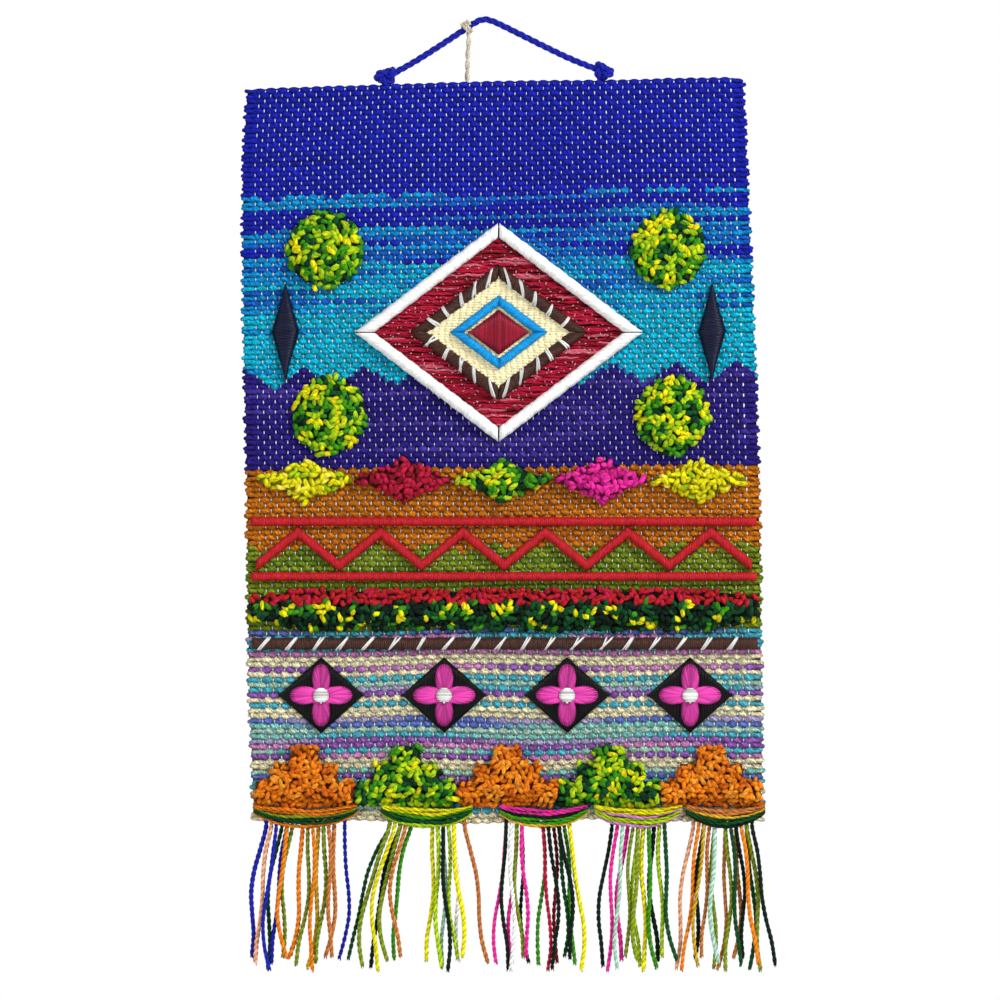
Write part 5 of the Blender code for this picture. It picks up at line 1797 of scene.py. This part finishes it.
def strand_seat(tuft, number):
    """A strand's place across its tuft, from -0.5 to 0.5."""
    return number / (tuft["strands"] - 1) - 0.5 if tuft["strands"] > 1 else 0.0


def strand_line(tuft, number, root_x):
    """The points down a strand's middle, as (x, z): straight down past the bundle, then on to its tip."""
    layer = number % LAYERS
    tip_x = tuft["tip"] + strand_seat(tuft, number) * tuft["fan"] + (layer - 1) * LAYER_LEAN
    phase = LAYER_TURN * layer + STRAND_WAVE_TURN * tip_x
    tip_z = -STRAND_TIP_DOWN - STRAND_TIP_UNEVEN * math.sin(STRAND_TIP_TURN * (number + tip_x))
    start_z = -BUNDLE_TOP - BUNDLE_DROOP - BUNDLE_HEIGHT - GAP
    points = [(root_x, start_z + ROOT_STRAIGHT), (root_x, start_z)]
    for step in range(1, STRAND_STEPS + 1):
        share = step / STRAND_STEPS
        x = root_x + (tip_x - root_x) * share
        x += STRAND_WAVE * math.sin(2 * math.pi * share + phase) * math.sin(math.pi * share / 2)
        x += tuft["bow"] * math.sin(math.pi * share)
        points.append((x, start_z + (tip_z - start_z) * share))
    return points


def strand_root(free, tuft, number):
    """Takes the free place in the bundle that is nearest to where a strand is wanted."""
    wanted_x = tuft["root"] + strand_seat(tuft, number) * tuft["spread"]
    wanted_height = (number % LAYERS + 0.5) * LAYER_DEPTH
    place = min(free, key=lambda spot: abs(spot[0] - wanted_x) + 10 * abs(spot[1] - wanted_height))
    free.remove(place)
    return place


def tip_fibres(end, colour, rng):
    """The frayed fibres at a strand's end."""
    made = []
    for _ in range(TIP_FIBRES):
        side = rng.uniform(0, 2 * math.pi)
        out = np.array((math.cos(side), math.sin(side), 0.0))
        start = end + out * TIP_FIBRE_OUT + (0, 0, TIP_FIBRE_START)
        spread = out * rng.uniform(0.0, TIP_FIBRE_OUT)
        tip = start + spread - np.array((0, 0, rng.uniform(*TIP_FIBRE_LENGTH_RANGE)))
        made.append(strand([start, (start + tip) / 2, tip], TIP_FIBRE_RADII, colour))
    return made


def fringe_strands(bundle, tufts, rng):
    """The loose strands of a bundle, and the frayed fibres at their ends."""
    columns = round((bundle["right"] - bundle["left"]) / BUNDLE_CELL)
    cell = (bundle["right"] - bundle["left"]) / columns
    free = [
        (bundle["left"] + (column + 0.5) * cell, (layer + 0.5) * LAYER_DEPTH)
        for column in range(columns) for layer in range(LAYERS)
    ]
    strands, fibres = [], []
    for tuft in tufts:
        for number in range(tuft["strands"]):
            root_x, height = strand_root(free, tuft, number)
            flat = strand_line(tuft, number, root_x)
            low_z = -BUNDLE_TOP - BUNDLE_DROOP - BUNDLE_HEIGHT
            root_y = float(cloth_y(root_x, low_z)) - CLOTH_THICKNESS / 2 - GAP - height
            sway = rng.uniform(-STRAND_SWAY, STRAND_SWAY)
            share = (root_x - bundle["left"]) / (bundle["right"] - bundle["left"])
            tucked = -BUNDLE_TOP - float(droop(bundle, root_x)) - bundle_depth(share) + ROOT_UNDER
            flat[0] = (root_x, max(tucked, flat[1][1] + ROOT_LEAST))
            ys = [root_y + sway * math.sin(STRAND_SWAY_STEP * i) for i in range(len(flat))]
            ys[0] += max(height - TUCK_HEIGHT, 0.0)
            ys[1] += 0.5 * max(height - TUCK_HEIGHT, 0.0)
            line = smooth_line([(x, y, z) for (x, z), y in zip(flat, ys)], 11)
            distance = lengths_along(line)
            colour = tint(tuft["dyes"][number % len(tuft["dyes"])]) * rng.uniform(*STRAND_SHADE_RANGE)
            radius = sizes().fringe_yarn / 2 * rng.uniform(*STRAND_RADIUS_RANGE) * np.ones(len(line))
            radius[-1] *= 0.62
            radius[-2] *= 1.05
            turn = 2 * np.pi * distance / rng.uniform(*STRAND_TWIST_RANGE)
            strands.append(strand(line, radius, colour, turn + rng.random() * 6))
            fibres += tip_fibres(line[-1], colour, rng)
    return strands, fibres


def swag_yarns(bundle, rng):
    """The yarns couched along the cloth's bottom edge, from which the strands hang."""
    made = []
    x = np.linspace(bundle["left"] + SWAG_INSET, bundle["right"] - SWAG_INSET, SWAG_POINTS)
    share = (x - bundle["left"]) / (bundle["right"] - bundle["left"])
    upper = -BUNDLE_TOP - 0.75 * droop(bundle, x)
    lower = -BUNDLE_TOP - droop(bundle, x) - bundle_depth(share)
    wraps = bundle["wraps"]
    for layer, high in enumerate(SWAG_HEIGHTS):
        rows = SWAG_ROWS + layer
        for row in range(rows):
            name = wraps[row * len(wraps) // rows]
            wander = 0.10 * np.sin(2 * np.pi * (share * rng.uniform(0.8, 2.0) + rng.random()))
            place = np.clip((row + 0.5 + wander * 3) / rows, 0.06, 0.94)
            z = upper + place * (lower - upper)
            height = LAYERS * LAYER_DEPTH * high + 0.0006 * np.sin(9 * share + 2 * row)
            radius = np.maximum((upper - lower) / rows * 0.62, SWAG_LEAST_RADIUS)
            radius = radius * (1.0 + 0.07 * np.sin(23 * share + 2 * row)) * rng.uniform(*SWAG_RADIUS_RANGE)
            radius[0] = radius[-1] = SWAG_END_RADIUS
            points = on_cloth(x, z, height)
            turn = 2 * np.pi * lengths_along(points) / SWAG_TWIST_LENGTH
            made.append(strand(points, radius, tint(name) * rng.uniform(*SWAG_SHADE_RANGE), turn + row))
    return made


def make_fringe():
    """The couched bundles along the bottom edge, with their plied strands."""
    rng = random.Random(17)
    plied = {"sides": 8, "lobes": 2, "swell": 0.14, "start": math.pi / 2}
    two_ply = {"sides": 6, "lobes": 2, "swell": 0.16, "start": math.pi / 2}
    for place, bundle in enumerate(BUNDLES):
        tufts = [row for row in TUFTS if row["bundle"] == place]
        strands, fibres = fringe_strands(bundle, tufts, rng)
        mesh = joined([
            squeezed(sweep(swag_yarns(bundle, rng), plied, 2), 0.25),
            squeezed(sweep(strands, two_ply, 2), 0.60, 0.26),
            squeezed(sweep(fibres, {"sides": 3}, 24), 0.10, 0.88),
        ])
        name = f"fringe_{place + 1}"
        add_piece(f"{name}_yarn", mesh, fringe_material(), [name])


# Operators and panel


class HANGING_OT_stage(bpy.types.Operator):
    """Sets up the camera, the light and the floor"""

    bl_idname = "hanging.stage"
    bl_label = "Stage"

    def execute(self, context):
        make_stage()
        return {"FINISHED"}


class HANGING_OT_cord(bpy.types.Operator):
    """Lays the hanging cord and ties its knots"""

    bl_idname = "hanging.cord"
    bl_label = "Hanging cord"

    def execute(self, context):
        make_hanging_cord()
        return {"FINISHED"}


class HANGING_OT_twine(bpy.types.Operator):
    """Hitches the natural twine on the cord"""

    bl_idname = "hanging.twine"
    bl_label = "Twine"

    def execute(self, context):
        make_twine()
        return {"FINISHED"}


class HANGING_OT_ground(bpy.types.Operator):
    """Weaves the ground of warp and weft"""

    bl_idname = "hanging.ground"
    bl_label = "Woven ground"

    def execute(self, context):
        make_ground()
        return {"FINISHED"}


class HANGING_OT_wrapped_bars(bpy.types.Operator):
    """Wraps the padded bars, rails and zigzag in thread"""

    bl_idname = "hanging.wrapped_bars"
    bl_label = "Wrapped bars"

    def execute(self, context):
        make_wrapped_bars()
        return {"FINISHED"}


class HANGING_OT_fields(bpy.types.Operator):
    """Stitches the crimson and the cream field"""

    bl_idname = "hanging.fields"
    bl_label = "Stitched fields"

    def execute(self, context):
        make_long_stitches()
        make_chain_ground()
        return {"FINISHED"}


class HANGING_OT_satin(bpy.types.Operator):
    """Sews the satin-stitched pieces"""

    bl_idname = "hanging.satin"
    bl_label = "Satin stitch"

    def execute(self, context):
        make_satin()
        return {"FINISHED"}


class HANGING_OT_pile(bpy.types.Operator):
    """Tufts the looped pile"""

    bl_idname = "hanging.pile"
    bl_label = "Looped pile"

    def execute(self, context):
        make_pile()
        return {"FINISHED"}


class HANGING_OT_fringe(bpy.types.Operator):
    """Couches the bundles of yarn and hangs their strands"""

    bl_idname = "hanging.fringe"
    bl_label = "Fringe"

    def execute(self, context):
        make_fringe()
        return {"FINISHED"}


OPERATORS = (
    HANGING_OT_stage,
    HANGING_OT_cord,
    HANGING_OT_twine,
    HANGING_OT_ground,
    HANGING_OT_wrapped_bars,
    HANGING_OT_fields,
    HANGING_OT_satin,
    HANGING_OT_pile,
    HANGING_OT_fringe,
)


class HANGING_PT_panel(bpy.types.Panel):
    """The hanging's pieces, sizes and colours"""

    bl_label = "Woven wall hanging"
    bl_idname = "HANGING_PT_panel"
    bl_space_type = "VIEW_3D"
    bl_region_type = "UI"
    bl_category = "Hanging"

    def draw(self, context):
        for operator in OPERATORS:
            self.layout.operator(operator.bl_idname)
        for settings in (context.scene.hanging_sizes, context.scene.hanging_dyes):
            for name in settings.__annotations__:
                self.layout.prop(settings, name)


CLASSES = (HangingDyes, HangingSizes, *OPERATORS, HANGING_PT_panel)


def register():
    for made in CLASSES:
        bpy.utils.register_class(made)
    bpy.types.Scene.hanging_dyes = PointerProperty(type=HangingDyes)
    bpy.types.Scene.hanging_sizes = PointerProperty(type=HangingSizes)


def unregister():
    del bpy.types.Scene.hanging_sizes
    del bpy.types.Scene.hanging_dyes
    for made in reversed(CLASSES):
        bpy.utils.unregister_class(made)


def main():
    """Makes the stage and every piece."""
    register()
    bpy.ops.hanging.stage()
    bpy.ops.hanging.cord()
    bpy.ops.hanging.twine()
    bpy.ops.hanging.ground()
    bpy.ops.hanging.wrapped_bars()
    bpy.ops.hanging.fields()
    bpy.ops.hanging.satin()
    bpy.ops.hanging.pile()
    bpy.ops.hanging.fringe()
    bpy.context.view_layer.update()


if __name__ == "__main__":
    main()
